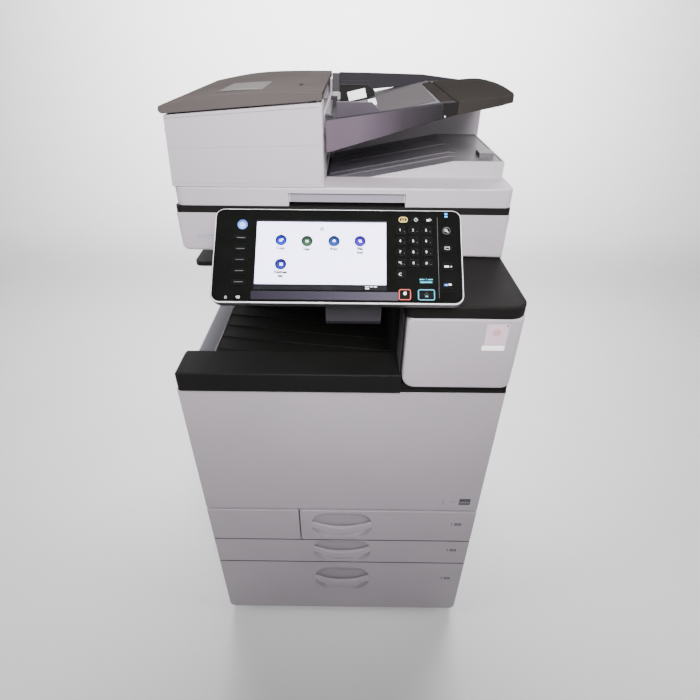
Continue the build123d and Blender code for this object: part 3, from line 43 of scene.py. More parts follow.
# ---- places on the CAD model that the added pieces are set against, in millimetres ------
FRONT_Y = -299.3             # face of the front covers
TOWER_Y = -312.3             # face of the tower
TOWER_INNER_X = 101.0        # wall of the tower beside the output space
HOUSING_Y = -129.3           # face of the scanner and the document feeder
HOUSING_RIGHT = -32.0        # right end of the feeder's housing
REAR_SECTION_Y = 200.7       # front of the housing's rear section
REAR_SECTION_TOP = 1166.0    # right end of that section's top
RIM_Z = 744.0                # top of the left cover's rim
PANEL_TILT = radians(46)     # the operation panel leans back from upright
PANEL_CENTRE = Vector((-4.5, -290.3, 1010))
PANEL_WIDTH, PANEL_HEIGHT, PANEL_RADIUS = 368.0, 145.0, 12.0
KEY_TOP = 0.9                # travelling keys stand proud of the panel's face
FIXED_KEY_TOP = 0.6
SCREEN_TOP = -0.4            # the display lies a little below the face
KEY_LEFT, KEY_HIGH = 94.5, 40.8           # first number key, from the panel's centre
KEY_PITCH_X, KEY_PITCH_Y = 19.4, 17.4
START_KEY = (130.5, -60.5)
STOP_KEY = (99.0, -60.5)
POWER_KEY = (-144.0, 47.8)
TRAY_FRONT_Y = -114.3        # face of the document tray's wall
TRAY_START = (-21.0, 0, 1150.0)           # a point of the tray's sloping surface
TRAY_SLOPE = 36.0 / 170.0
GUIDE_Y = 170.0              # face of the rear paper guide


# ---- materials -------------------------------------------------------------------------
GRAIN_DEPTH = 0.0004         # metres
BADGE_BRIGHT_SPOT = (0.5, 0.35, 0.5)      # in the icon's own box
FLAT_DOT, EDGE_DOT = 0.995, 0.8           # true against rounded normal: flat face, full edge


def shader(name):
    """An empty node material: its tree and its principled shader."""
    material = bpy.data.materials.new(name)
    material.use_nodes = True
    tree = material.node_tree
    return material, tree, tree.nodes["Principled BSDF"]


def noise(tree, scale, detail=3.0, coordinates=None):
    """A noise texture in the object's own metres."""
    texture = tree.nodes.new("ShaderNodeTexNoise")
    texture.inputs["Scale"].default_value = scale
    texture.inputs["Detail"].default_value = detail
    if coordinates is None:
        coordinates = tree.nodes.new("ShaderNodeTexCoord").outputs["Object"]
    tree.links.new(coordinates, texture.inputs["Vector"])
    return texture


def ramp(tree, value, stops):
    """A colour ramp over a value: stops are (place, colour)."""
    node = tree.nodes.new("ShaderNodeValToRGB")
    elements = node.color_ramp.elements
    while len(elements) < len(stops):
        elements.new(0.5)
    for element, (place, colour) in zip(elements, stops):
        element.position = place
        element.color = (*colour, 1)
    tree.links.new(value, node.inputs["Fac"])
    return node.outputs["Color"]


def rounded_normal(tree, radius_mm):
    """Normals that round off sharp edges."""
    bevel = tree.nodes.new("ShaderNodeBevel")
    bevel.samples = 4
    bevel.inputs["Radius"].default_value = radius_mm * MM
    return bevel.outputs["Normal"]


def edge_mask(tree, normal):
    """0 on flat faces, rising to 1 on edges: where the painted edge highlight goes."""
    geometry = tree.nodes.new("ShaderNodeNewGeometry")
    dot = tree.nodes.new("ShaderNodeVectorMath")
    dot.operation = "DOT_PRODUCT"
    tree.links.new(normal, dot.inputs[0])
    tree.links.new(geometry.outputs["Normal"], dot.inputs[1])
    spread = tree.nodes.new("ShaderNodeMapRange")
    spread.inputs["From Min"].default_value = FLAT_DOT
    spread.inputs["From Max"].default_value = EDGE_DOT
    tree.links.new(dot.outputs["Value"], spread.inputs["Value"])
    return spread.outputs["Result"]


def grain_bump(tree, normal, scale, strength):
    """Fine moulded grain over the given normals."""
    bump = tree.nodes.new("ShaderNodeBump")
    bump.inputs["Strength"].default_value = strength
    bump.inputs["Distance"].default_value = GRAIN_DEPTH
    tree.links.new(noise(tree, scale, 2.0).outputs["Fac"], bump.inputs["Height"])
    tree.links.new(normal, bump.inputs["Normal"])
    return bump.outputs["Normal"]


def spread_value(tree, value, low, high):
    """A value from 0 to 1 spread over low to high."""
    node = tree.nodes.new("ShaderNodeMapRange")
    node.inputs["To Min"].default_value = low
    node.inputs["To Max"].default_value = high
    tree.links.new(value, node.inputs["Value"])
    return node.outputs["Result"]


def mix(tree, factor, first, second):
    """Blend two colours by a factor socket."""
    node = tree.nodes.new("ShaderNodeMix")
    node.data_type = "RGBA"
    tree.links.new(factor, node.inputs["Factor"])
    for socket, value in ((node.inputs[6], first), (node.inputs[7], second)):
        if isinstance(value, tuple):
            socket.default_value = (*value, 1)
        else:
            tree.links.new(value, socket)
    return node.outputs[2]


def scaled(colour, factor):
    """A colour made lighter or darker."""
    return tuple(min(1.0, channel * factor) for channel in colour)


def moulded(name, colour, rough=0.5, grain=900.0, depth=0.05, mottle=0.04, edge=1.0, radius_mm=0.9,
            specular=0.5):
    """Moulded plastic: fine grain, slight mottling, and a painted highlight along edges, as strong
    as the factor edge (1 leaves edges plain).
    """
    material, tree, principled = shader(name)
    soft = noise(tree, 5.0)
    base = ramp(tree, soft.outputs["Fac"],
                [(0.3, scaled(colour, 1 - mottle)), (0.7, scaled(colour, 1 + mottle))])
    normal = rounded_normal(tree, radius_mm)
    # painted highlight: edges drawn in the colour scaled by edge, lighter wherever edge is above 1
    base = mix(tree, edge_mask(tree, normal), base, scaled(colour, edge))
    tree.links.new(base, principled.inputs["Base Color"])
    smudge = noise(tree, 14.0, 4.0)
    gloss = spread_value(tree, smudge.outputs["Fac"], rough - 0.07, rough + 0.07)
    tree.links.new(gloss, principled.inputs["Roughness"])
    tree.links.new(grain_bump(tree, normal, grain, depth), principled.inputs["Normal"])
    principled.inputs["Specular IOR Level"].default_value = specular
    return material


def sheet_metal(name, colour, rough=0.35, stretch=(2.0, 60.0, 60.0)):
    """Zinc-plated or brushed sheet with fine drawn streaks."""
    material, tree, principled = shader(name)
    place = tree.nodes.new("ShaderNodeMapping")
    place.inputs["Scale"].default_value = stretch
    tree.links.new(tree.nodes.new("ShaderNodeTexCoord").outputs["Object"], place.inputs["Vector"])
    streaks = noise(tree, 12.0, 5.0, place.outputs["Vector"])
    base = ramp(tree, streaks.outputs["Fac"],
                [(0.3, scaled(colour, 0.85)), (0.7, scaled(colour, 1.1))])
    tree.links.new(base, principled.inputs["Base Color"])
    principled.inputs["Metallic"].default_value = 0.9
    gloss = spread_value(tree, streaks.outputs["Fac"], rough - 0.1, rough + 0.12)
    tree.links.new(gloss, principled.inputs["Roughness"])
    tree.links.new(rounded_normal(tree, 0.4), principled.inputs["Normal"])
    return material


def glossy(name, colour, rough=0.12, coat=0.15):
    """Polished dark plastic with a clear hard coat and faint fingerprints."""
    material, tree, principled = shader(name)
    film = noise(tree, 30.0, 6.0)
    base = ramp(tree, film.outputs["Fac"],
                [(0.3, scaled(colour, 0.85)), (0.8, scaled(colour, 1.25))])
    tree.links.new(base, principled.inputs["Base Color"])
    gloss = spread_value(tree, film.outputs["Fac"], rough, rough + 0.12)
    tree.links.new(gloss, principled.inputs["Roughness"])
    principled.inputs["Coat Weight"].default_value = coat
    principled.inputs["Coat Roughness"].default_value = 0.06
    principled.inputs["Specular IOR Level"].default_value = 0.08
    tree.links.new(rounded_normal(tree, 0.4), principled.inputs["Normal"])
    return material


def lit(name, colour, strength, spread=0.06):
    """A backlit legend, lamp or screen: glows, with slight unevenness; on the white stickers the
    glow is painted light, as they are no lamps.
    """
    material, tree, principled = shader(name)
    uneven = noise(tree, 25.0, 2.0)
    glow = ramp(tree, uneven.outputs["Fac"],
                [(0.3, scaled(colour, 1 - spread)), (0.7, scaled(colour, 1 + spread))])
    tree.links.new(glow, principled.inputs["Base Color"])
    tree.links.new(glow, principled.inputs["Emission Color"])
    principled.inputs["Emission Strength"].default_value = strength
    principled.inputs["Roughness"].default_value = 0.3
    return material


def badge(name, middle, rim, strength=0.2):
    """Round screen icon: bright in the middle of its lower half, dark at its rim."""
    material, tree, principled = shader(name)
    place = tree.nodes.new("ShaderNodeTexCoord").outputs["Generated"]
    centre = tree.nodes.new("ShaderNodeVectorMath")
    centre.operation = "DISTANCE"
    centre.inputs[1].default_value = BADGE_BRIGHT_SPOT
    flat = tree.nodes.new("ShaderNodeVectorMath")
    flat.operation = "MULTIPLY_ADD"
    flat.inputs[1].default_value = (1, 1, 0)
    flat.inputs[2].default_value = (0, 0, 0.5)
    tree.links.new(place, flat.inputs[0])
    tree.links.new(flat.outputs["Vector"], centre.inputs[0])
    shade = ramp(tree, centre.outputs["Value"],
                 [(0.0, scaled(middle, 1.5)), (0.32, middle), (0.62, rim)])
    tree.links.new(shade, principled.inputs["Base Color"])
    tree.links.new(shade, principled.inputs["Emission Color"])
    principled.inputs["Emission Strength"].default_value = strength
    principled.inputs["Roughness"].default_value = 0.25
    return material


def gradient(name, axis, stops, low, high, rough=0.4, wobble=0.12):
    """Satin plastic that changes colour along one axis of the frame, low to high in mm; on the exit
    tray, the left cover's rim, the grip recess and the document tray's wall this change is painted
    shade.
    """
    material, tree, principled = shader(name)
    split = tree.nodes.new("ShaderNodeSeparateXYZ")
    tree.links.new(tree.nodes.new("ShaderNodeTexCoord").outputs["Object"], split.inputs["Vector"])
    along = tree.nodes.new("ShaderNodeMapRange")
    along.inputs["From Min"].default_value = low * MM
    along.inputs["From Max"].default_value = high * MM
    tree.links.new(split.outputs[axis], along.inputs["Value"])
    cloud = noise(tree, 18.0, 4.0)
    wander = tree.nodes.new("ShaderNodeMath")
    wander.operation = "MULTIPLY_ADD"
    wander.inputs[1].default_value = wobble
    tree.links.new(cloud.outputs["Fac"], wander.inputs[0])
    tree.links.new(along.outputs["Result"], wander.inputs[2])
    tree.links.new(ramp(tree, wander.outputs["Value"], stops), principled.inputs["Base Color"])
    principled.inputs["Roughness"].default_value = rough
    principled.inputs["Specular IOR Level"].default_value = 0.15
    tree.links.new(rounded_normal(tree, 0.8), principled.inputs["Normal"])
    return material


WHITE = (0.365, 0.337, 0.368)
cover_white = moulded("cover_white_grain", WHITE, rough=0.5, edge=1.12, radius_mm=1.4)
cover_black = moulded("cover_black_grain", (0.0075, 0.0075, 0.007), rough=0.55, depth=0.08,
                      mottle=0.1, edge=2.2, radius_mm=1.2, specular=0.10)
space_black = moulded("output_space_grain", (0.0065, 0.0065, 0.006), rough=0.6, depth=0.08,
                      mottle=0.15, edge=1.6, radius_mm=1.0, specular=0.12)
tower_black = moulded("tower_top_satin", (0.0085, 0.008, 0.0075), rough=0.55, depth=0.06,
                      mottle=0.1, edge=2.4, radius_mm=1.6, specular=0.05)
feeder_brown = moulded("feeder_cover_grain", (0.066, 0.059, 0.056), rough=0.55, depth=0.12,
                       mottle=0.12, edge=1.6, radius_mm=1.2, specular=0.0)
tray_dark = moulded("document_tray_grain", (0.020, 0.018, 0.022), rough=0.5, depth=0.1, mottle=0.12,
                    edge=1.8, specular=0.1)
# painted shading: the wall's skin lighter toward its left end and near black toward its right end
tray_wall = gradient("document_tray_wall_painted_shade", "X",
                     [(0.0, (0.084, 0.066, 0.084)), (0.35, (0.076, 0.060, 0.078)),
                      (0.72, (0.024, 0.019, 0.025)), (1.0, (0.009, 0.008, 0.009))], -28, 160,
                     rough=0.45)
extension_dark = moulded("extension_grain", (0.022, 0.020, 0.018), rough=0.6, depth=0.1,
                         mottle=0.12, edge=2.4, specular=0.0)
arm_grey = moulded("arm_grain", (0.030, 0.027, 0.034), rough=0.45, depth=0.1, mottle=0.1, edge=1.8)
# painted shade: the exit tray darker at its left end, where the input tray shades it, lighter to
# the right
exit_painted_shade = gradient("exit_tray_painted_shade", "X",
                     [(0.0, (0.085, 0.078, 0.095)), (0.4, (0.080, 0.075, 0.086)),
                      (0.9, (0.105, 0.10, 0.108))], -20, 285)
# painted shade: the back wall of the feeder's grip recess, a darker copy of the housing white,
# darkest at the bottom
grip_recess_shade = gradient("grip_recess_painted_shade", "Z",
                      [(0.0, (0.22, 0.20, 0.24)), (0.9, (0.34, 0.31, 0.36))], 1036, 1053)
panel_black = glossy("panel_gloss_black", (0.0035, 0.004, 0.0035), coat=0.05)
key_black = moulded("key_satin", (0.0030, 0.0030, 0.0030), rough=0.4, grain=1500, depth=0.04,
                    edge=3.0, radius_mm=0.5, specular=0.05)
shell_black = moulded("panel_shell_grain", (0.020, 0.020, 0.021), rough=0.4, depth=0.08, edge=2.2)
bezel_silver = moulded("bezel_satin_silver", (0.72, 0.71, 0.73), rough=0.32, grain=1400, depth=0.03,
                       edge=1.1)
strip_violet = gradient("strip_below_display", "X",
                        [(0.0, (0.012, 0.010, 0.016)), (0.5, (0.022, 0.019, 0.030)),
                         (1.0, (0.045, 0.040, 0.056))], -130, 90, rough=0.35)
zinc = sheet_metal("zinc_sheet", (0.55, 0.56, 0.57))
lift_steel = sheet_metal("lift_plate_steel", (0.48, 0.49, 0.50), rough=0.4)
drawer_grey = moulded("drawer_inside", (0.20, 0.205, 0.215), rough=0.5, edge=1.3)
engine_dark = moulded("engine_plastic", (0.035, 0.040, 0.046), rough=0.45, edge=1.8)
toner_grey = moulded("toner_bottle", (0.10, 0.11, 0.12), rough=0.35, edge=1.5)
rubber = moulded("roller_rubber", (0.018, 0.018, 0.018), rough=0.8, grain=2500, depth=0.2, edge=1.5,
                 specular=0.2)
foot_rubber = moulded("foot_rubber", (0.02, 0.02, 0.02), rough=0.7, depth=0.15, edge=1.6)
fence_grey = moulded("fence_grain", (0.028, 0.022, 0.032), rough=0.42, depth=0.1, edge=1.5)
seam_dark = moulded("seam_shadow", (0.10, 0.09, 0.10), rough=0.8, edge=1.0)
seam_black = moulded("seam_gap", (0.030, 0.027, 0.029), rough=0.8, edge=1.0, specular=0.05)


def two_tone(name, light, dark, rough=0.5):
    """The feeder housing: white outside, dark on the lugs in its paper slot and on its rear tab."""
    material, tree, principled = shader(name)
    split = tree.nodes.new("ShaderNodeSeparateXYZ")
    tree.links.new(tree.nodes.new("ShaderNodeTexCoord").outputs["Object"], split.inputs["Vector"])

    def compare(axis, operation, limit):
        test = tree.nodes.new("ShaderNodeMath")
        test.operation = operation
        test.inputs[1].default_value = limit * MM
        tree.links.new(split.outputs[axis], test.inputs[0])
        return test.outputs["Value"]

    def combine(operation, first, second):
        both = tree.nodes.new("ShaderNodeMath")
        both.operation = operation
        tree.links.new(first, both.inputs[0])
        tree.links.new(second, both.inputs[1])
        return both.outputs["Value"]

    margin = 0.5             # mm, so that the limits clear the faces they follow
    lugs_above = 1100.0
    right_of_wall = compare("X", "GREATER_THAN", HOUSING_RIGHT + margin)
    ahead_of_rear = compare("Y", "LESS_THAN", REAR_SECTION_Y - margin)
    lugs = combine("MULTIPLY", ahead_of_rear, compare("Z", "GREATER_THAN", lugs_above))
    rear_tab = compare("Z", "GREATER_THAN", REAR_SECTION_TOP + margin)
    inside = combine("MULTIPLY", right_of_wall, combine("MAXIMUM", lugs, rear_tab))
    soft = noise(tree, 5.0)
    outer = ramp(tree, soft.outputs["Fac"],
                 [(0.3, scaled(light, 0.96)), (0.7, scaled(light, 1.04))])
    tree.links.new(mix(tree, inside, outer, dark), principled.inputs["Base Color"])
    principled.inputs["Roughness"].default_value = rough
    tree.links.new(grain_bump(tree, rounded_normal(tree, 1.4), 900.0, 0.05),
                   principled.inputs["Normal"])
    return material


# painted shade: the white rim of the left cover drawn dark blue-grey, lighter at its outer edge
painted_rim_shade = gradient("rim_strip_painted_shade", "X",
                    [(0.0, (0.105, 0.108, 0.125)), (0.5, (0.062, 0.063, 0.074)),
                     (1.0, (0.035, 0.035, 0.041))], -292, -259)
housing_white = two_tone("feeder_housing_grain", WHITE, (0.015, 0.014, 0.015))
screen_white = lit("screen_white", (0.72, 0.73, 1.0), 2.0, 0.03)
screen_bar = glossy("screen_bar", (0.010, 0.010, 0.012), rough=0.2)
white_mark = lit("legend_white", (0.75, 0.76, 0.78), 0.25)
dim_mark = lit("legend_dim", (0.10, 0.10, 0.11), 0.05)
ink_grey = moulded("ink_grey", (0.23, 0.22, 0.30), rough=0.6)
ink_dark = moulded("ink_dark", (0.045, 0.045, 0.055), rough=0.6)
ink_black = moulded("ink_black", (0.004, 0.004, 0.008), rough=0.7, edge=1.0, specular=0.02)
ink_blue = moulded("ink_blue", (0.10, 0.20, 0.42), rough=0.5)
teal = lit("legend_teal", (0.06, 0.42, 0.55), 0.35)
red = lit("legend_red", (0.62, 0.07, 0.05), 0.35)
yellow = lit("legend_yellow", (0.72, 0.55, 0.16), 0.4)
lamp_blue = lit("lamp_blue", (0.05, 0.30, 0.85), 0.8)
power_blue = badge("power_key_backlight", (0.13, 0.28, 0.72), (0.015, 0.05, 0.24), 0.4)
pale_patch = moulded("film_patch", (0.072, 0.067, 0.069), rough=0.45, edge=1.1, specular=0.0)
# painted light: the white stickers glow, though they are no lamps
sticker_white_glow = lit("white_sticker_painted_glow", (0.95, 0.95, 0.97), 0.35)
seal_pink = gradient("seal_pink_film", "Z",
                     [(0.0, (0.60, 0.50, 0.56)), (0.5, (0.66, 0.42, 0.47)),
                      (1.0, (0.60, 0.52, 0.58))], 864, 906, rough=0.25)


def glass(name, colour):
    """Clear sheet glass with a faint tint and a dusty film."""
    material, tree, principled = shader(name)
    film = noise(tree, 9.0, 5.0)
    tree.links.new(ramp(tree, film.outputs["Fac"], [(0.3, colour), (0.8, scaled(colour, 0.9))]),
                   principled.inputs["Base Color"])
    principled.inputs["Transmission Weight"].default_value = 0.85
    principled.inputs["Roughness"].default_value = 0.04
    principled.inputs["IOR"].default_value = 1.5
    return material


platen = glass("exposure_glass", (0.80, 0.90, 0.87))

NODE_MATERIALS = {
    cover_white: "left_cover right_cover rear_cover lower_left_cover front_cover tray_1_front "
                 "tray_2_front tray_3_front right_door tower_cover scanner_housing adf_base",
    housing_white: "adf_housing",
    cover_black: "scanner_top_frame upper_exit_tray inner_cover",
    space_black: "output_tray",
    tower_black: "tower_top_cover",
    feeder_brown: "adf_top_cover",
    extension_dark: "adf_extension",
    tray_dark: "adf_input_tray adf_rear_fence",
    arm_grey: "panel_arm bypass_tray",
    fence_grey: "adf_front_fence",
    exit_painted_shade: "adf_exit_tray",
    panel_black: "panel_face",
    shell_black: "panel_shell",
    key_black: "function_keys start_key stop_key number_key_0 number_key_1 number_key_2 "
               "number_key_3 number_key_4 number_key_5 number_key_6 number_key_7 number_key_8 "
               "number_key_9 number_key_star number_key_hash",
    power_blue: "power_key",
    zinc: "base_frame",
    lift_steel: "tray_1_lift_plate tray_2_lift_plate tray_3_lift_plate",
    drawer_grey: "tray_1_box tray_2_box tray_3_box",
    engine_dark: "print_engine fuser_unit scan_carriage",
    toner_grey: "toner_bottles",
    rubber: "exit_roller feed_roller",
    platen: "platen_glass",
    screen_bar: "display",
    foot_rubber: "levelling_feet",
}
for material, names in NODE_MATERIALS.items():
    for name in names.split():
        for material_slot in NODES[name].material_slots:
            material_slot.material = material


# ---- building pieces -------------------------------------------------------------------
def facing(origin, across, up):
    """Matrix of a flat place to draw on: origin in mm, local x across, y up, z outwards."""
    x = Vector(across).normalized()
    y = Vector(up).normalized()
    z = x.cross(y)
    place = Matrix((x, y, z)).transposed().to_4x4()
    return Matrix.Translation(Vector(origin) * MM) @ place


PANEL = facing(PANEL_CENTRE, (1, 0, 0), (0, sin(PANEL_TILT), cos(PANEL_TILT)))
FRONT = facing((0, FRONT_Y, 0), (1, 0, 0), (0, 0, 1))
TOWER = facing((0, TOWER_Y, 0), (1, 0, 0), (0, 0, 1))
TOWER_SIDE = facing((TOWER_INNER_X, 0, 0), (0, -1, 0), (0, 0, 1))
HOUSING = facing((0, HOUSING_Y, 0), (1, 0, 0), (0, 0, 1))
TRAY = facing(TRAY_START, (1, 0, TRAY_SLOPE), (0, 1, 0))
TRAY_FACE = facing((0, TRAY_FRONT_Y, 0), (1, 0, 0), (0, 0, 1))
GUIDE = facing((0, GUIDE_Y, 0), (1, 0, 0), (0, 0, 1))
LEFT_RIM = facing((0, 0, RIM_Z), (1, 0, 0), (0, 1, 0))


def register(piece, material, body):
    """Give a finished piece its material and its body."""
    piece.data.materials.append(material)
    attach(piece, body)
    return piece


def rounded(width, height, radius, steps=6):
    """Points of a rounded rectangle about the origin, counter-clockwise."""
    points = []
    for corner in range(4):
        turn = corner * pi / 2
        side_x = 1 if corner in (0, 3) else -1
        side_y = 1 if corner in (0, 1) else -1
        for step in range(steps + 1):
            angle = turn + step * pi / 2 / steps
            points.append((side_x * (width / 2 - radius) + radius * cos(angle),
                           side_y * (height / 2 - radius) + radius * sin(angle)))
    return points


def disc(radius, steps=40):
    """Points of a circle about the origin."""
    return [(radius * cos(2 * pi * i / steps),
             radius * sin(2 * pi * i / steps)) for i in range(steps)]


def shifted(points, x, y):
    """The same outline moved in its own plane."""
    return [(px + x, py + y) for px, py in points]


def mesh_object(name, shape):
    """Turn a bmesh into a scene object."""
    bmesh.ops.recalc_face_normals(shape, faces=shape.faces)
    data = bpy.data.meshes.new(name)
    shape.to_mesh(data)
    shape.free()
    piece = bpy.data.objects.new(name, data)
    bpy.context.scene.collection.objects.link(piece)
    return piece


def plate(name, place, outline, base, top, material, body, slot, edge=0.0, dome=0.0):
    """A solid plate with this outline, from base to top above its place, in mm.

    edge bevels the rim of its top face, and dome raises its middle.
    """
    shape = bmesh.new()
    levels = [(base, 0.0), (top - edge, 0.0)] + ([(top, edge)] if edge else [])
    centre = Vector((sum(p[0] for p in outline), sum(p[1] for p in outline))) / len(outline)
    rings = []
    for level, inset in levels:
        ring = []
        for x, y in outline:
            towards = (centre - Vector((x, y)))
            step = towards.normalized() * inset if towards.length else towards
            ring.append(shape.verts.new(Vector((x + step.x, y + step.y, level)) * MM))
        rings.append(ring)
    count = len(outline)
    for low, high in zip(rings, rings[1:]):
        for i in range(count):
            shape.faces.new((low[i], low[(i + 1) % count], high[(i + 1) % count], high[i]))
    shape.faces.new(list(reversed(rings[0])))
    if dome:
        tip = shape.verts.new(Vector((centre.x, centre.y, top + dome)) * MM)
        for i in range(count):
            shape.faces.new((rings[-1][i], rings[-1][(i + 1) % count], tip))
    else:
        shape.faces.new(rings[-1])
    piece = mesh_object(name, shape)
    piece.matrix_world = place
    return register(piece, material, body)


def wire(name, place, outline, level, thick, material, body, closed=True):
    """A round bead along a closed outline or an open line, centred on level, in mm."""
    curve = bpy.data.curves.new(name, "CURVE")
    curve.dimensions = "3D"
    curve.bevel_depth = thick / 2 * MM
    curve.bevel_resolution = 3
    line = curve.splines.new("POLY")
    line.points.add(len(outline) - 1)
    for point, (x, y) in zip(line.points, outline):
        point.co = (x * MM, y * MM, level * MM, 1)
    line.use_cyclic_u = closed
    piece = bpy.data.objects.new(name, curve)
    bpy.context.scene.collection.objects.link(piece)
    piece.matrix_world = place
    return register(piece, material, body)


CAP_HEIGHT = 0.72            # of a capital, as a share of the font's size
PRINT_DEPTH = 0.03


def legend(name, place, text, x, y, height, level, material, body, bold=0.0):
    """Generic characters printed on a surface, height in mm."""
    data = bpy.data.curves.new(name, "FONT")
    data.body = text
    data.size = height / CAP_HEIGHT * MM
    data.align_x = "CENTER"
    data.offset = bold * MM
    data.align_y = "CENTER"
    data.extrude = PRINT_DEPTH * MM
    data.resolution_u = 3
    piece = bpy.data.objects.new(name, data)
    bpy.context.scene.collection.objects.link(piece)
    piece.matrix_world = place @ Matrix.Translation(Vector((x, y, level)) * MM)
    return register(piece, material, body)


# ---- operation panel -------------------------------------------------------------------
def panel_plate(name, outline, base, top, material, body="panel", slot="panel_black", **shape):
    """A plate on the operation panel's face."""
    return plate(name, PANEL, outline, base, top, material, body, slot, **shape)


BEZEL_OUT = 0.6
BEZEL = rounded(PANEL_WIDTH + 2 * BEZEL_OUT, PANEL_HEIGHT + 2 * BEZEL_OUT, PANEL_RADIUS + BEZEL_OUT,
                10)
wire("panel_bezel", PANEL, BEZEL, -2.6, 2.6, bezel_silver, "panel")
SCREEN_X = -25.0
panel_plate("screen_picture", shifted(rounded(194, 98.5, 0.8), SCREEN_X, 3.6), SCREEN_TOP,
            SCREEN_TOP + 0.12, screen_white, slot="screen")
panel_plate("screen_top_band", shifted(rounded(196, 1.6, 0.3), SCREEN_X, 54.2), 0.0, 0.15,
            strip_violet)
panel_plate("strip_under_display", shifted(rounded(216, 12.5, 1.5), -18, -63), 0.0, 0.35,
            strip_violet, edge=0.3)
ICON_LEVEL = SCREEN_TOP + 0.12
ICONS = {
    "copy": (-85.1, 23.4, (0.010, 0.016, 0.34), (0.001, 0.001, 0.04), "Copy"),
    "scan": (-46.1, 22.2, (0.022, 0.060, 0.030), (0.001, 0.003, 0.002), "Scan"),
    "print": (-5.8, 22.6, (0.008, 0.036, 0.18), (0.001, 0.002, 0.02), "Print"),
    "box": (33.1, 23.0, (0.030, 0.010, 0.26), (0.002, 0.001, 0.04), "File\nbox"),
    "book": (-84.2, -14.8, (0.014, 0.012, 0.20), (0.001, 0.001, 0.03), "Address\nlist"),
}
GLYPHS = {
    "copy": [shifted(rounded(4.2, 3.0, 0.5), -0.6, -0.5),
             shifted(rounded(2.8, 2.0, 0.4), 1.6, 1.2)],
    "scan": [shifted(rounded(4.6, 1.0, 0.4), 0, 0.9), shifted(rounded(4.6, 1.4, 0.4), 0, -1.0)],
    "print": [rounded(4.4, 2.6, 0.6), shifted(rounded(2.2, 1.2, 0.3), 0, 2.2)],
    "box": [rounded(3.6, 3.6, 0.8), shifted(rounded(1.6, 1.4, 0.5), 2.0, -1.6)],
    "book": [shifted(rounded(3.2, 4.2, 0.5), 0, 0), shifted(rounded(1.2, 4.2, 0.4), 2.4, 0)],
}
for icon, (x, y, middle, rim, words) in ICONS.items():
    colours = badge(f"icon_{icon}", middle, rim, 0.1)
    panel_plate(f"icon_rim_{icon}", shifted(disc(8.6), x, y), ICON_LEVEL, ICON_LEVEL + 0.05,
                ink_black, slot="screen")
    panel_plate(f"icon_{icon}", shifted(disc(7.7), x, y), ICON_LEVEL + 0.05, ICON_LEVEL + 0.10,
                colours, slot="screen", dome=0.08)
    for index, glyph in enumerate(GLYPHS[icon]):
        panel_plate(f"icon_{icon}_glyph_{index}", shifted(glyph, x, y), ICON_LEVEL + 0.1,
                    ICON_LEVEL + 0.26, screen_white, slot="screen")
    legend(f"icon_{icon}_name", PANEL, words, x, y - 12.8 - 2.6 * words.count("\n"), 4.3,
           ICON_LEVEL + 0.04, ink_black, "panel", bold=0.28)
wire("home_symbol", PANEL, shifted(rounded(4.6, 3.2, 0.8), -24, 41.0), ICON_LEVEL, 1.0, ink_black,
     "panel")
wire("home_roof", PANEL, [(-26.6, 42.4), (-24.2, 44.8), (-21.4, 42.4)], ICON_LEVEL, 1.0, ink_black,
     "panel", closed=False)
for index, (x, width) in enumerate(((44.0, 6.0), (50.2, 3.4), (56.0, 4.4))):
    panel_plate(f"status_mark_{index}", shifted(rounded(width, 1.5, 0.4), x, -48.6), SCREEN_TOP,
                SCREEN_TOP + 0.1, white_mark, slot="screen")
panel_plate("status_mark_low", shifted(rounded(6.0, 1.3, 0.4), 44.0, -51.6), SCREEN_TOP,
            SCREEN_TOP + 0.1, white_mark, slot="screen")

# keypad legends, each on its own travelling key
KEYPAD = ("1", "2", "3", "4", "5", "6", "7", "8", "9", "star", "0", "hash")
SHOWN = {"star": "*/.", "hash": "#"}
for index, key in enumerate(KEYPAD):
    x = KEY_LEFT + KEY_PITCH_X * (index % 3)
    y = KEY_HIGH - KEY_PITCH_Y * (index // 3)
    legend(f"legend_{key}", PANEL, SHOWN.get(key, key), x - 1.5, y, 4.2, KEY_TOP, white_mark,
           f"key_{key}")
    panel_plate(f"legend_dot_{key}", shifted(disc(0.55, 12), x + 4.6, y - 2.2), KEY_TOP,
                KEY_TOP + 0.05, dim_mark, f"key_{key}", "key_dark")
wire("start_ring", PANEL, shifted(rounded(23.4, 15.4, 2.6), *START_KEY), KEY_TOP, 1.25, teal,
     "start")
wire("stop_ring", PANEL, shifted(rounded(16.4, 15.4, 2.6), *STOP_KEY), KEY_TOP, 1.25, red, "stop")
panel_plate("start_symbol", [(128.2, -63.6), (133.4, -63.6), (130.8, -60.9)], KEY_TOP,
            KEY_TOP + 0.08, teal, "start", "key_dark")
wire("start_diamond", PANEL, [(127.8, -60.2), (130.6, -57.4), (133.4, -60.2), (130.6, -63.0)],
     KEY_TOP, 0.6, dim_mark, "start")
panel_plate("stop_symbol", shifted(disc(2.7, 8), 99.2, -58.6), KEY_TOP, KEY_TOP + 0.08, white_mark,
            "stop", "key_dark", edge=0.04)
panel_plate("power_glow", shifted(disc(6.9), *POWER_KEY), KEY_TOP, KEY_TOP + 0.12, power_blue,
            "power", "power_blue", edge=0.08)
POWER_X, POWER_Y = POWER_KEY
ARC_RADIUS = 2.7
POWER_ARC = [(POWER_X + ARC_RADIUS * sin(radians(turn)), POWER_Y + ARC_RADIUS * cos(radians(turn)))
             for turn in range(40, 321, 20)]
wire("power_arc", PANEL, POWER_ARC, KEY_TOP + 0.12, 0.7, white_mark, "power",
     closed=False)
wire("power_bar", PANEL, [(POWER_X, POWER_Y + 0.8), (POWER_X, POWER_Y + 3.4)], KEY_TOP + 0.12, 0.7,
     white_mark, "power", closed=False)

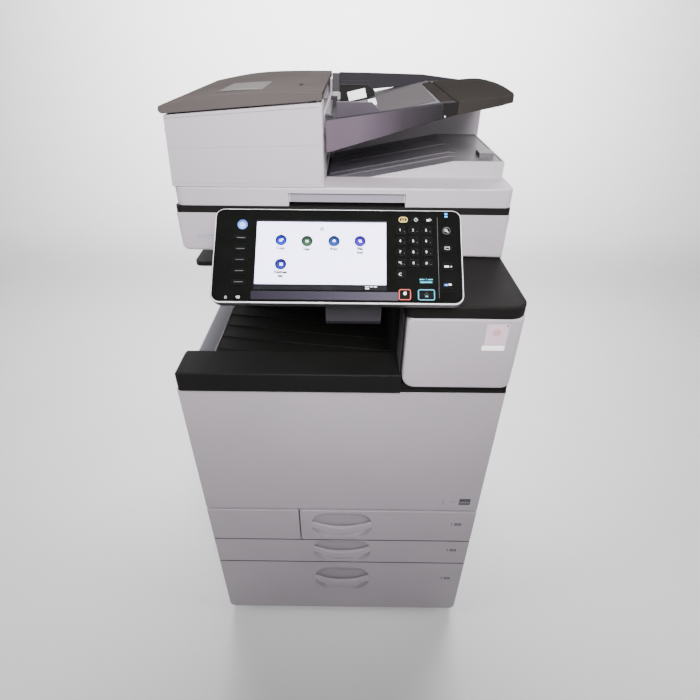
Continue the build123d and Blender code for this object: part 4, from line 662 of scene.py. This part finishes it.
# fixed keys and printed symbols, none of which travels
TOP = FIXED_KEY_TOP
wire("top_key_ring", PANEL, shifted(rounded(12.2, 7.6, 3.7), 98.0, 57.8), TOP, 1.3, yellow, "panel")
wire("top_key_symbol", PANEL, shifted(rounded(4.4, 3.0, 0.6), 98.0, 57.8), TOP, 0.7, yellow,
     "panel")
wire("top_key_diamond", PANEL, [(114.2, 57.8), (117.0, 60.6), (119.8, 57.8), (117.0, 55.0)], TOP,
     0.8, white_mark, "panel")
panel_plate("top_key_card", shifted(rounded(4.0, 3.2, 0.4), 135.2, 57.2), TOP, TOP + 0.06,
            white_mark, slot="key_dark")
wire("top_key_arrow", PANEL, [(138.0, 56.0), (140.2, 58.0), (137.0, 60.4)], TOP, 0.6, white_mark,
     "panel", closed=False)
legend("clear_key", PANEL, "C", 92.5, -29.1, 4.4, TOP, white_mark, "panel")
legend("sample_key", PANEL, "2", 130.5, -36.6, 2.8, TOP, teal, "panel")
for index, x in enumerate((124.6, 136.4)):
    panel_plate(f"sample_key_wing_{index}", shifted(rounded(7.4, 1.3, 0.3), x, -36.9), TOP,
                TOP + 0.06, teal, slot="key_dark")
panel_plate("sample_key_bar", shifted(rounded(17.5, 2.0, 0.4), 130.5, -41.0), TOP, TOP + 0.06, teal,
            slot="key_dark")
wire("search_ring", PANEL, shifted(disc(5.3), 162.8, 40.5), TOP, 0.75, dim_mark, "panel")
wire("search_lens", PANEL, shifted(disc(1.7, 20), 161.8, 41.2), TOP, 0.7, white_mark, "panel")
wire("search_handle", PANEL, [(163.2, 39.9), (165.2, 38.0)], TOP, 0.8, white_mark, "panel",
     closed=False)
wire("book_symbol", PANEL,
     [(159.6, 14.2), (161.4, 14.9), (162.9, 14.0), (164.4, 14.9), (166.2, 14.2), (166.2, 10.6),
      (162.9, 10.6), (159.6, 10.6)], TOP, 0.65, white_mark, "panel")
panel_plate("counter_symbol", shifted(rounded(6.6, 2.8, 0.7), 161.4, -16.2), TOP, TOP + 0.06,
            white_mark, slot="key_dark")
panel_plate("counter_dot", shifted(disc(1.0, 12), 168.0, -16.4), TOP, TOP + 0.06, white_mark,
            slot="key_dark")
panel_plate("sleep_symbol", shifted(rounded(6.4, 3.4, 1.6), 160.0, -44.6), TOP, TOP + 0.06,
            badge("sleep_blue", (0.12, 0.20, 0.75), (0.02, 0.03, 0.22), 0.5), slot="key_dark")
panel_plate("sleep_symbol_pale", shifted(rounded(4.6, 2.8, 1.3), 165.4, -44.2), TOP, TOP + 0.07,
            white_mark, slot="key_dark")
for index, y in enumerate((68.2, 63.8)):
    panel_plate(f"data_lamp_{index}", shifted(rounded(4.6, 2.6, 0.6), 162.6, y), 0.0, 0.12,
                lamp_blue, slot="power_blue", edge=0.08)
panel_plate("column_line", shifted(rounded(0.5, 128, 0.2), 149.3, -1.5), 0.0, 0.06, dim_mark)
for index in range(5):
    y = 25.9 - KEY_PITCH_Y * index
    panel_plate(f"shortcut_line_{index}", shifted(rounded(12.5, 0.9, 0.3), -145.2, y + 0.5), TOP,
                TOP + 0.05, dim_mark, slot="key_dark")
wire("drop_symbol", PANEL, [(-162.5, -64.4), (-160.9, -67.0), (-162.5, -69.0), (-164.1, -67.0)],
     0.0, 0.7, white_mark, "panel")
wire("card_symbol", PANEL, shifted(rounded(3.8, 3.0, 0.4), -144.2, -66.3), 0.0, 0.7, white_mark,
     "panel")
panel_plate("card_bar", shifted(rounded(2.2, 0.8, 0.2), -144.2, -66.3), 0.0, 0.1, white_mark)
wire("card_arrow", PANEL, [(-148.0, -66.3), (-146.8, -65.2)], 0.0, 0.6, white_mark, "panel",
     closed=False)

# ---- drawer labels and generic marks on the front ---------------------------------------
for number, (x, z) in {1: (242.5, 382.2), 2: (244.0, 286.0), 3: (244.0, 169.4)}.items():
    body = f"drawer_{number}"
    legend(f"drawer_number_{number}", FRONT, str(number), x, z, 10.0, 0.0, ink_dark, body)
    plate(f"drawer_paper_{number}", FRONT, shifted(rounded(14.5, 8.6, 1.0), x + 13.5, z), 0.0, 0.1,
          ink_dark, body, "cover_white")
    for end, side in (("u", -1), ("d", 1)):
        plate(f"drawer_paper_{number}_line_{end}", FRONT,
              shifted(rounded(11.0, 1.5, 0.4), x + 13.5, z + 1.8 * side), 0.1, 0.16, cover_white,
              body, "cover_white")
SEAM_HALF = 290.0
for number, z in ((2, 320.6), (3, 233.6)):
    wire(f"drawer_seam_{number}", FRONT, [(-SEAM_HALF, z), (SEAM_HALF, z)], -0.1, 1.3, seam_black,
         f"drawer_{number}", closed=False)
plate("energy_square", FRONT, shifted(rounded(23.5, 19.0, 1.2), 260.2, 459.2), 0.0, 0.1, ink_dark,
      "front_door", "cover_white")
plate("energy_line", FRONT, shifted(rounded(20.5, 1.8, 0.5), 260.2, 456.6), 0.1, 0.16, cover_white,
      "front_door", "cover_white")
ARC = [(250.5 + 1.1 * i, 458.6 + 4.0 * sin(pi * i / 18)) for i in range(19)]
wire("energy_arc", FRONT, ARC, 0.1, 0.6, cover_white, "front_door", closed=False)
SMALL_MARKS = ((215.0, 464.0, 6.4), (215.5, 458.4, 5.4), (215.0, 453.2, 6.6), (232.0, 459.4, 3.4),
               (237.6, 459.2, 4.6))
for index, (x, z, width) in enumerate(SMALL_MARKS):
    plate(f"small_mark_{index}", FRONT, shifted(rounded(width, 2.2, 0.5), x, z), 0.0, 0.1, ink_grey,
          "front_door", "cover_white")

# ---- seal on the tower, generic name label, and painted shade on the left cover's rim and on the tower's inner wall ---
plate("seal_film", TOWER, shifted(rounded(35.5, 40.5, 1.2), 248.2, 886.4), 0.0, 0.18, seal_pink,
      "cabinet", "cover_white", edge=0.1)
plate("seal_heart", TOWER, shifted(disc(6.5), 247.6, 890.5), 0.18, 0.22,
      moulded("seal_faint", (0.58, 0.33, 0.38)), "cabinet", "cover_white")
plate("seal_strip", TOWER, shifted(rounded(37.0, 9.5, 0.8), 246.8, 861.4), 0.0, 0.14, sticker_white_glow,
      "cabinet", "cover_white")
plate("seal_corner", TOWER, shifted(rounded(3.4, 3.4, 0.6), 263.0, 903.4), 0.18, 0.26, ink_grey,
      "cabinet", "cover_white")
plate("label_underline", HOUSING, shifted(rounded(30.0, 0.9, 0.3), -250.0, 972.2), 0.0, 0.08,
      ink_blue, "cabinet", "cover_white")
for index, (x, width) in enumerate(((-257.0, 13.0), (-238.0, 18.0))):
    plate(f"label_bar_{index}", HOUSING, shifted(rounded(width, 1.6, 0.4), x, 977.0), 0.0, 0.08,
          ink_grey, "cabinet", "cover_white")

# painted shade over the left cover's rim, which lies under the scanner
plate("left_rim_shade_sheet", LEFT_RIM, [(-290.5, -233), (-259.5, -233), (-259.5, 328), (-290.5, 328)],
      0.05, 0.5, painted_rim_shade, "cabinet", "cover_white", edge=0.4)
# painted shade: a dark grey sheet on the tower's white side wall beside the output space, where
# that wall lies in shade
plate("tower_inner_shade_sheet", TOWER_SIDE, [(238, 798), (295, 798), (295, 913), (238, 913)], 0.05, 0.6,
      moulded("tower_inner_painted_shade", (0.060, 0.054, 0.062), rough=0.5), "cabinet", "cover_black",
      edge=0.4)

# ---- document feeder: seams, painted shade in the grip recess, and cover fittings -------
GROOVE = 0.22
CREASE_END = HOUSING_RIGHT - 6
CREASES = ((1123.6, 1130.6, -286.0), (1069.6, 1067.6, -289.2))
for index, (z_left, z_right, x_left) in enumerate(CREASES):
    wire(f"housing_crease_{index}", HOUSING, [(x_left, z_left), (CREASE_END, z_right)], 0.05,
         GROOVE, seam_dark, "feeder", closed=False)
wire("housing_lip_line", HOUSING, [(-282.5, 1168.5), (-160.0, 1177.5), (CREASE_END, 1186.5)], 0.05,
     0.5, seam_dark, "feeder", closed=False)
# painted shade laid on the grip recess's back wall
plate("feeder_grip_strip", HOUSING, shifted(rounded(197, 15.4, 3.0), 7.0, 1045.0), -5.0, -4.4,
      grip_recess_shade, "feeder", "cover_white", edge=0.4)
COVER_TOP = [(-204.0, 1202.2), (-165.0, 1205.0), (-138.0, 1206.0), (-60.0, 1206.9), (-30.0, 1207.2)]


def cover_z(x):
    """Height of the feeder cover's crown at x, from its profile."""
    for (x0, z0), (x1, z1) in zip(COVER_TOP, COVER_TOP[1:]):
        if x <= x1:
            return z0 + (z1 - z0) * (x - x0) / (x1 - x0)
    return COVER_TOP[-1][1]


def draped(name, corners, lift, thick, material, body, steps=8):
    """A thin film that follows the feeder cover's crown, between four (x, y) corners."""
    shape = bmesh.new()
    grid = []
    for i in range(steps + 1):
        row = []
        for j in range(2):
            near, far = Vector(corners[j]), Vector(corners[3 - j])
            place = near.lerp(far, i / steps)
            row.append((place.x, place.y))
        grid.append(row)
    layers = []
    for level in (lift, lift + thick):
        layers.append([[shape.verts.new(Vector((x, y, cover_z(x) + level)) * MM) for x, y in row]
                       for row in grid])
    for layer in layers:
        for first, second in zip(layer, layer[1:]):
            shape.faces.new((first[0], first[1], second[1], second[0]))
    low, high = layers
    for i in range(steps):
        for j in (0, 1):
            shape.faces.new((low[i][j], low[i + 1][j], high[i + 1][j], high[i][j]))
    for i in (0, steps):
        shape.faces.new((low[i][0], low[i][1], high[i][1], high[i][0]))
    return register(mesh_object(name, shape), material, body)


draped("cover_label", [(-200, -92), (-200, 30), (-130, 30), (-130, -92)], 0.05, 0.2,
       moulded("label_grey_film", (0.125, 0.118, 0.116), rough=0.45, edge=1.2, specular=0.0),
       "feeder_cover")
draped("cover_label_band", [(-176, -84), (-176, -76), (-138, -76), (-138, -84)], 0.2, 0.15,
       moulded("label_band_film", (0.19, 0.18, 0.178), rough=0.45, specular=0.0), "feeder_cover")

latch_dark = moulded("latch_grain", (0.030, 0.027, 0.026), rough=0.55, edge=1.8, specular=0.0)
draped("latch_lever", [(-118, -81), (-118, -1), (-72, -1), (-72, -81)], 0.02, 0.1, latch_dark,
       "feeder_cover")
draped("latch_lever_top", [(-114, -72), (-114, -10), (-76, -10), (-76, -72)], 0.12, 0.1,
       feeder_brown, "feeder_cover")

# ---- document tray: wall with painted shading, film, stickers with painted glow and the cover over the extension's hinge ---
plate("rear_guide", GUIDE, [(-11, 1153.5), (60, 1168.6), (60, 1178), (46, 1189.5), (-11, 1189.5)],
      -3.0, 0.0, space_black, "rear_fence", "tray_grey")
plate("rear_guide_foot", GUIDE, [(-11, 1153.2), (50, 1166.1), (50, 1168.1), (-11, 1155.2)], -60.0,
      -2.0, space_black, "rear_fence", "tray_grey")
plate("rear_guide_label", GUIDE, [(7.3, 1158.6), (43.6, 1166.2), (39.1, 1183.0), (2.8, 1175.0)],
      0.02, 0.2, sticker_white_glow, "rear_fence", "tray_grey")
# the wall's skin carries the painted shading of tray_wall
plate("tray_wall_skin", TRAY_FACE,
      [(-27.5, 1116.2), (10, 1126.6), (60, 1140.7), (106, 1154.2), (157, 1169.2), (157, 1190.5),
       (110, 1184.0), (60, 1176.9), (-27.5, 1164.8)], 0.02, 0.7, tray_wall, "document_tray",
      "tray_grey", edge=0.3)
wire("tray_wall_lip", TRAY_FACE, [(-27.0, 1166.0), (158, 1191.8), (175, 1193.2)], -1.6, 3.0,
     tray_dark, "document_tray", closed=False)
plate("tray_film", TRAY, [(84, -50), (84, 40), (84, 170), (184, 232), (180, -52)], 0.15, 0.6,
      pale_patch, "document_tray", "tray_grey", edge=0.2)
plate("tray_sticker", TRAY, [(68, 60), (90, 56), (90, 150), (68, 150)], 0.1, 0.25, sticker_white_glow,
      "document_tray", "tray_grey")
HINGE_SIDE = facing((0, TRAY_FRONT_Y + 1.5, 0), (-1, 0, 0), (0, 0, 1))
HINGE_LENGTH = 310.0
plate("hinge_cover", HINGE_SIDE,
      [(-160, 1188.5), (-160, 1189.7), (-171, 1192.2), (-174, 1193.2), (-177.3, 1193.7),
       (-177.3, 1193.2), (-174.3, 1192.6), (-171, 1191.1)],
      0.0, HINGE_LENGTH, extension_dark, "document_tray", "tray_grey")
plate("hinge_cheek", TRAY_FACE,
      [(158, 1169.6), (176, 1174.2), (181.2, 1175.4), (181.2, 1190.0), (180, 1192.4),
       (177.5, 1193.6), (158, 1191.2)], -3.5, 0.9, tower_black, "document_tray", "tray_grey",
      edge=0.4)
plate("hinge_pin_head", TRAY_FACE, shifted(disc(1.3, 16), 162.4, 1172.6), 0.9, 1.3, white_mark,
      "document_tray", "tray_grey", edge=0.2)

# ---- floor, light and camera -----------------------------------------------------------
COVE_FRONT, COVE_WALL, COVE_RADIUS, COVE_HEIGHT, COVE_HALF = -7.0, 5.0, 2.5, 9.0, 12.0
profile = [(COVE_FRONT, 0.0), (COVE_WALL - COVE_RADIUS, 0.0)]
COVE_STEPS = 24
for step in range(1, COVE_STEPS + 1):
    turn = step / COVE_STEPS * pi / 2
    profile.append((COVE_WALL - COVE_RADIUS + COVE_RADIUS * sin(turn),
                    COVE_RADIUS - COVE_RADIUS * cos(turn)))
profile.append((COVE_WALL, COVE_HEIGHT))
floor_shape = bmesh.new()
edges = [[floor_shape.verts.new((x, y, z)) for y, z in profile] for x in (-COVE_HALF, COVE_HALF)]
for i in range(len(profile) - 1):
    floor_shape.faces.new((edges[0][i], edges[1][i], edges[1][i + 1], edges[0][i + 1]))
floor = mesh_object("floor", floor_shape)
for polygon in floor.data.polygons:
    polygon.use_smooth = True
floor_material, floor_tree, floor_principled = shader("floor_pale")
floor_principled.inputs["Roughness"].default_value = 0.75
floor_noise = noise(floor_tree, 3.0)
floor_tree.links.new(ramp(floor_tree, floor_noise.outputs["Fac"],
                          [(0.2, (0.80, 0.80, 0.80)), (0.8, (0.83, 0.83, 0.83))]),
                     floor_principled.inputs["Base Color"])
floor_principled.inputs["Emission Color"].default_value = (1, 1, 1, 1)
floor_principled.inputs["Emission Strength"].default_value = 0.10
floor.data.materials.append(floor_material)

world = bpy.data.worlds.new("studio")
world.use_nodes = True
world.node_tree.nodes["Background"].inputs["Color"].default_value = (0.95, 0.95, 1.0, 1)
world.node_tree.nodes["Background"].inputs["Strength"].default_value = 0.16
bpy.context.scene.world = world


def softbox(name, place, target, size, power, colour=(1, 1, 1), spread=180):
    """A soft rectangular light aimed at a point."""
    data = bpy.data.lights.new(name, "AREA")
    data.shape = "RECTANGLE"
    data.size, data.size_y = size
    data.energy = power
    data.spread = radians(spread)
    data.color = colour
    lamp = bpy.data.objects.new(name, data)
    lamp.location = place
    lamp.rotation_euler = (Vector(target) - Vector(place)).to_track_quat("-Z", "Y").to_euler()
    bpy.context.scene.collection.objects.link(lamp)


softbox("ceiling_light", (0.1, 1.5, 3.1), (0, 0.9, 0.8), (2.6, 1.6), 62, (1.0, 0.97, 1.0), 100)
softbox("backdrop_light", (0, 1.6, 3.2), (0, 5.0, 1.6), (5.0, 1.2), 420, (1, 1, 1), 120)
softbox("front_light", (0.15, -1.30, 1.80), (0, -0.15, 1.18), (0.6, 0.5), 12.5, (1.0, 0.955, 0.985),
        74)
softbox("left_light", (-2.2, -0.6, 2.1), (0, -0.1, 1.15), (1.0, 1.2), 5.5, (1, 1, 1), 55)
softbox("right_light", (2.2, -0.4, 2.1), (0, -0.1, 1.15), (1.0, 1.2), 5.5, (1, 1, 1), 55)

camera_data = bpy.data.cameras.new("camera")
camera_data.lens = 24.686
camera_data.sensor_width = 36.0
camera_data.clip_start = 0.01
camera = bpy.data.objects.new("camera", camera_data)
YAW, PITCH, ROLL = radians(-0.22), radians(34.39), radians(-0.49)
ahead = Vector((sin(YAW) * cos(PITCH), cos(YAW) * cos(PITCH), -sin(PITCH)))
level_right = Vector((cos(YAW), -sin(YAW), 0))
level_down = ahead.cross(level_right)
right = level_right * cos(ROLL) + level_down * sin(ROLL)
down = level_down * cos(ROLL) - level_right * sin(ROLL)
CAMERA_PLACE = (0.0176, -0.958, 1.2967)
camera.matrix_world = (Matrix.Translation(CAMERA_PLACE)
                       @ Matrix((right, -down, -ahead)).transposed().to_4x4())
bpy.context.scene.collection.objects.link(camera)
bpy.context.scene.camera = camera
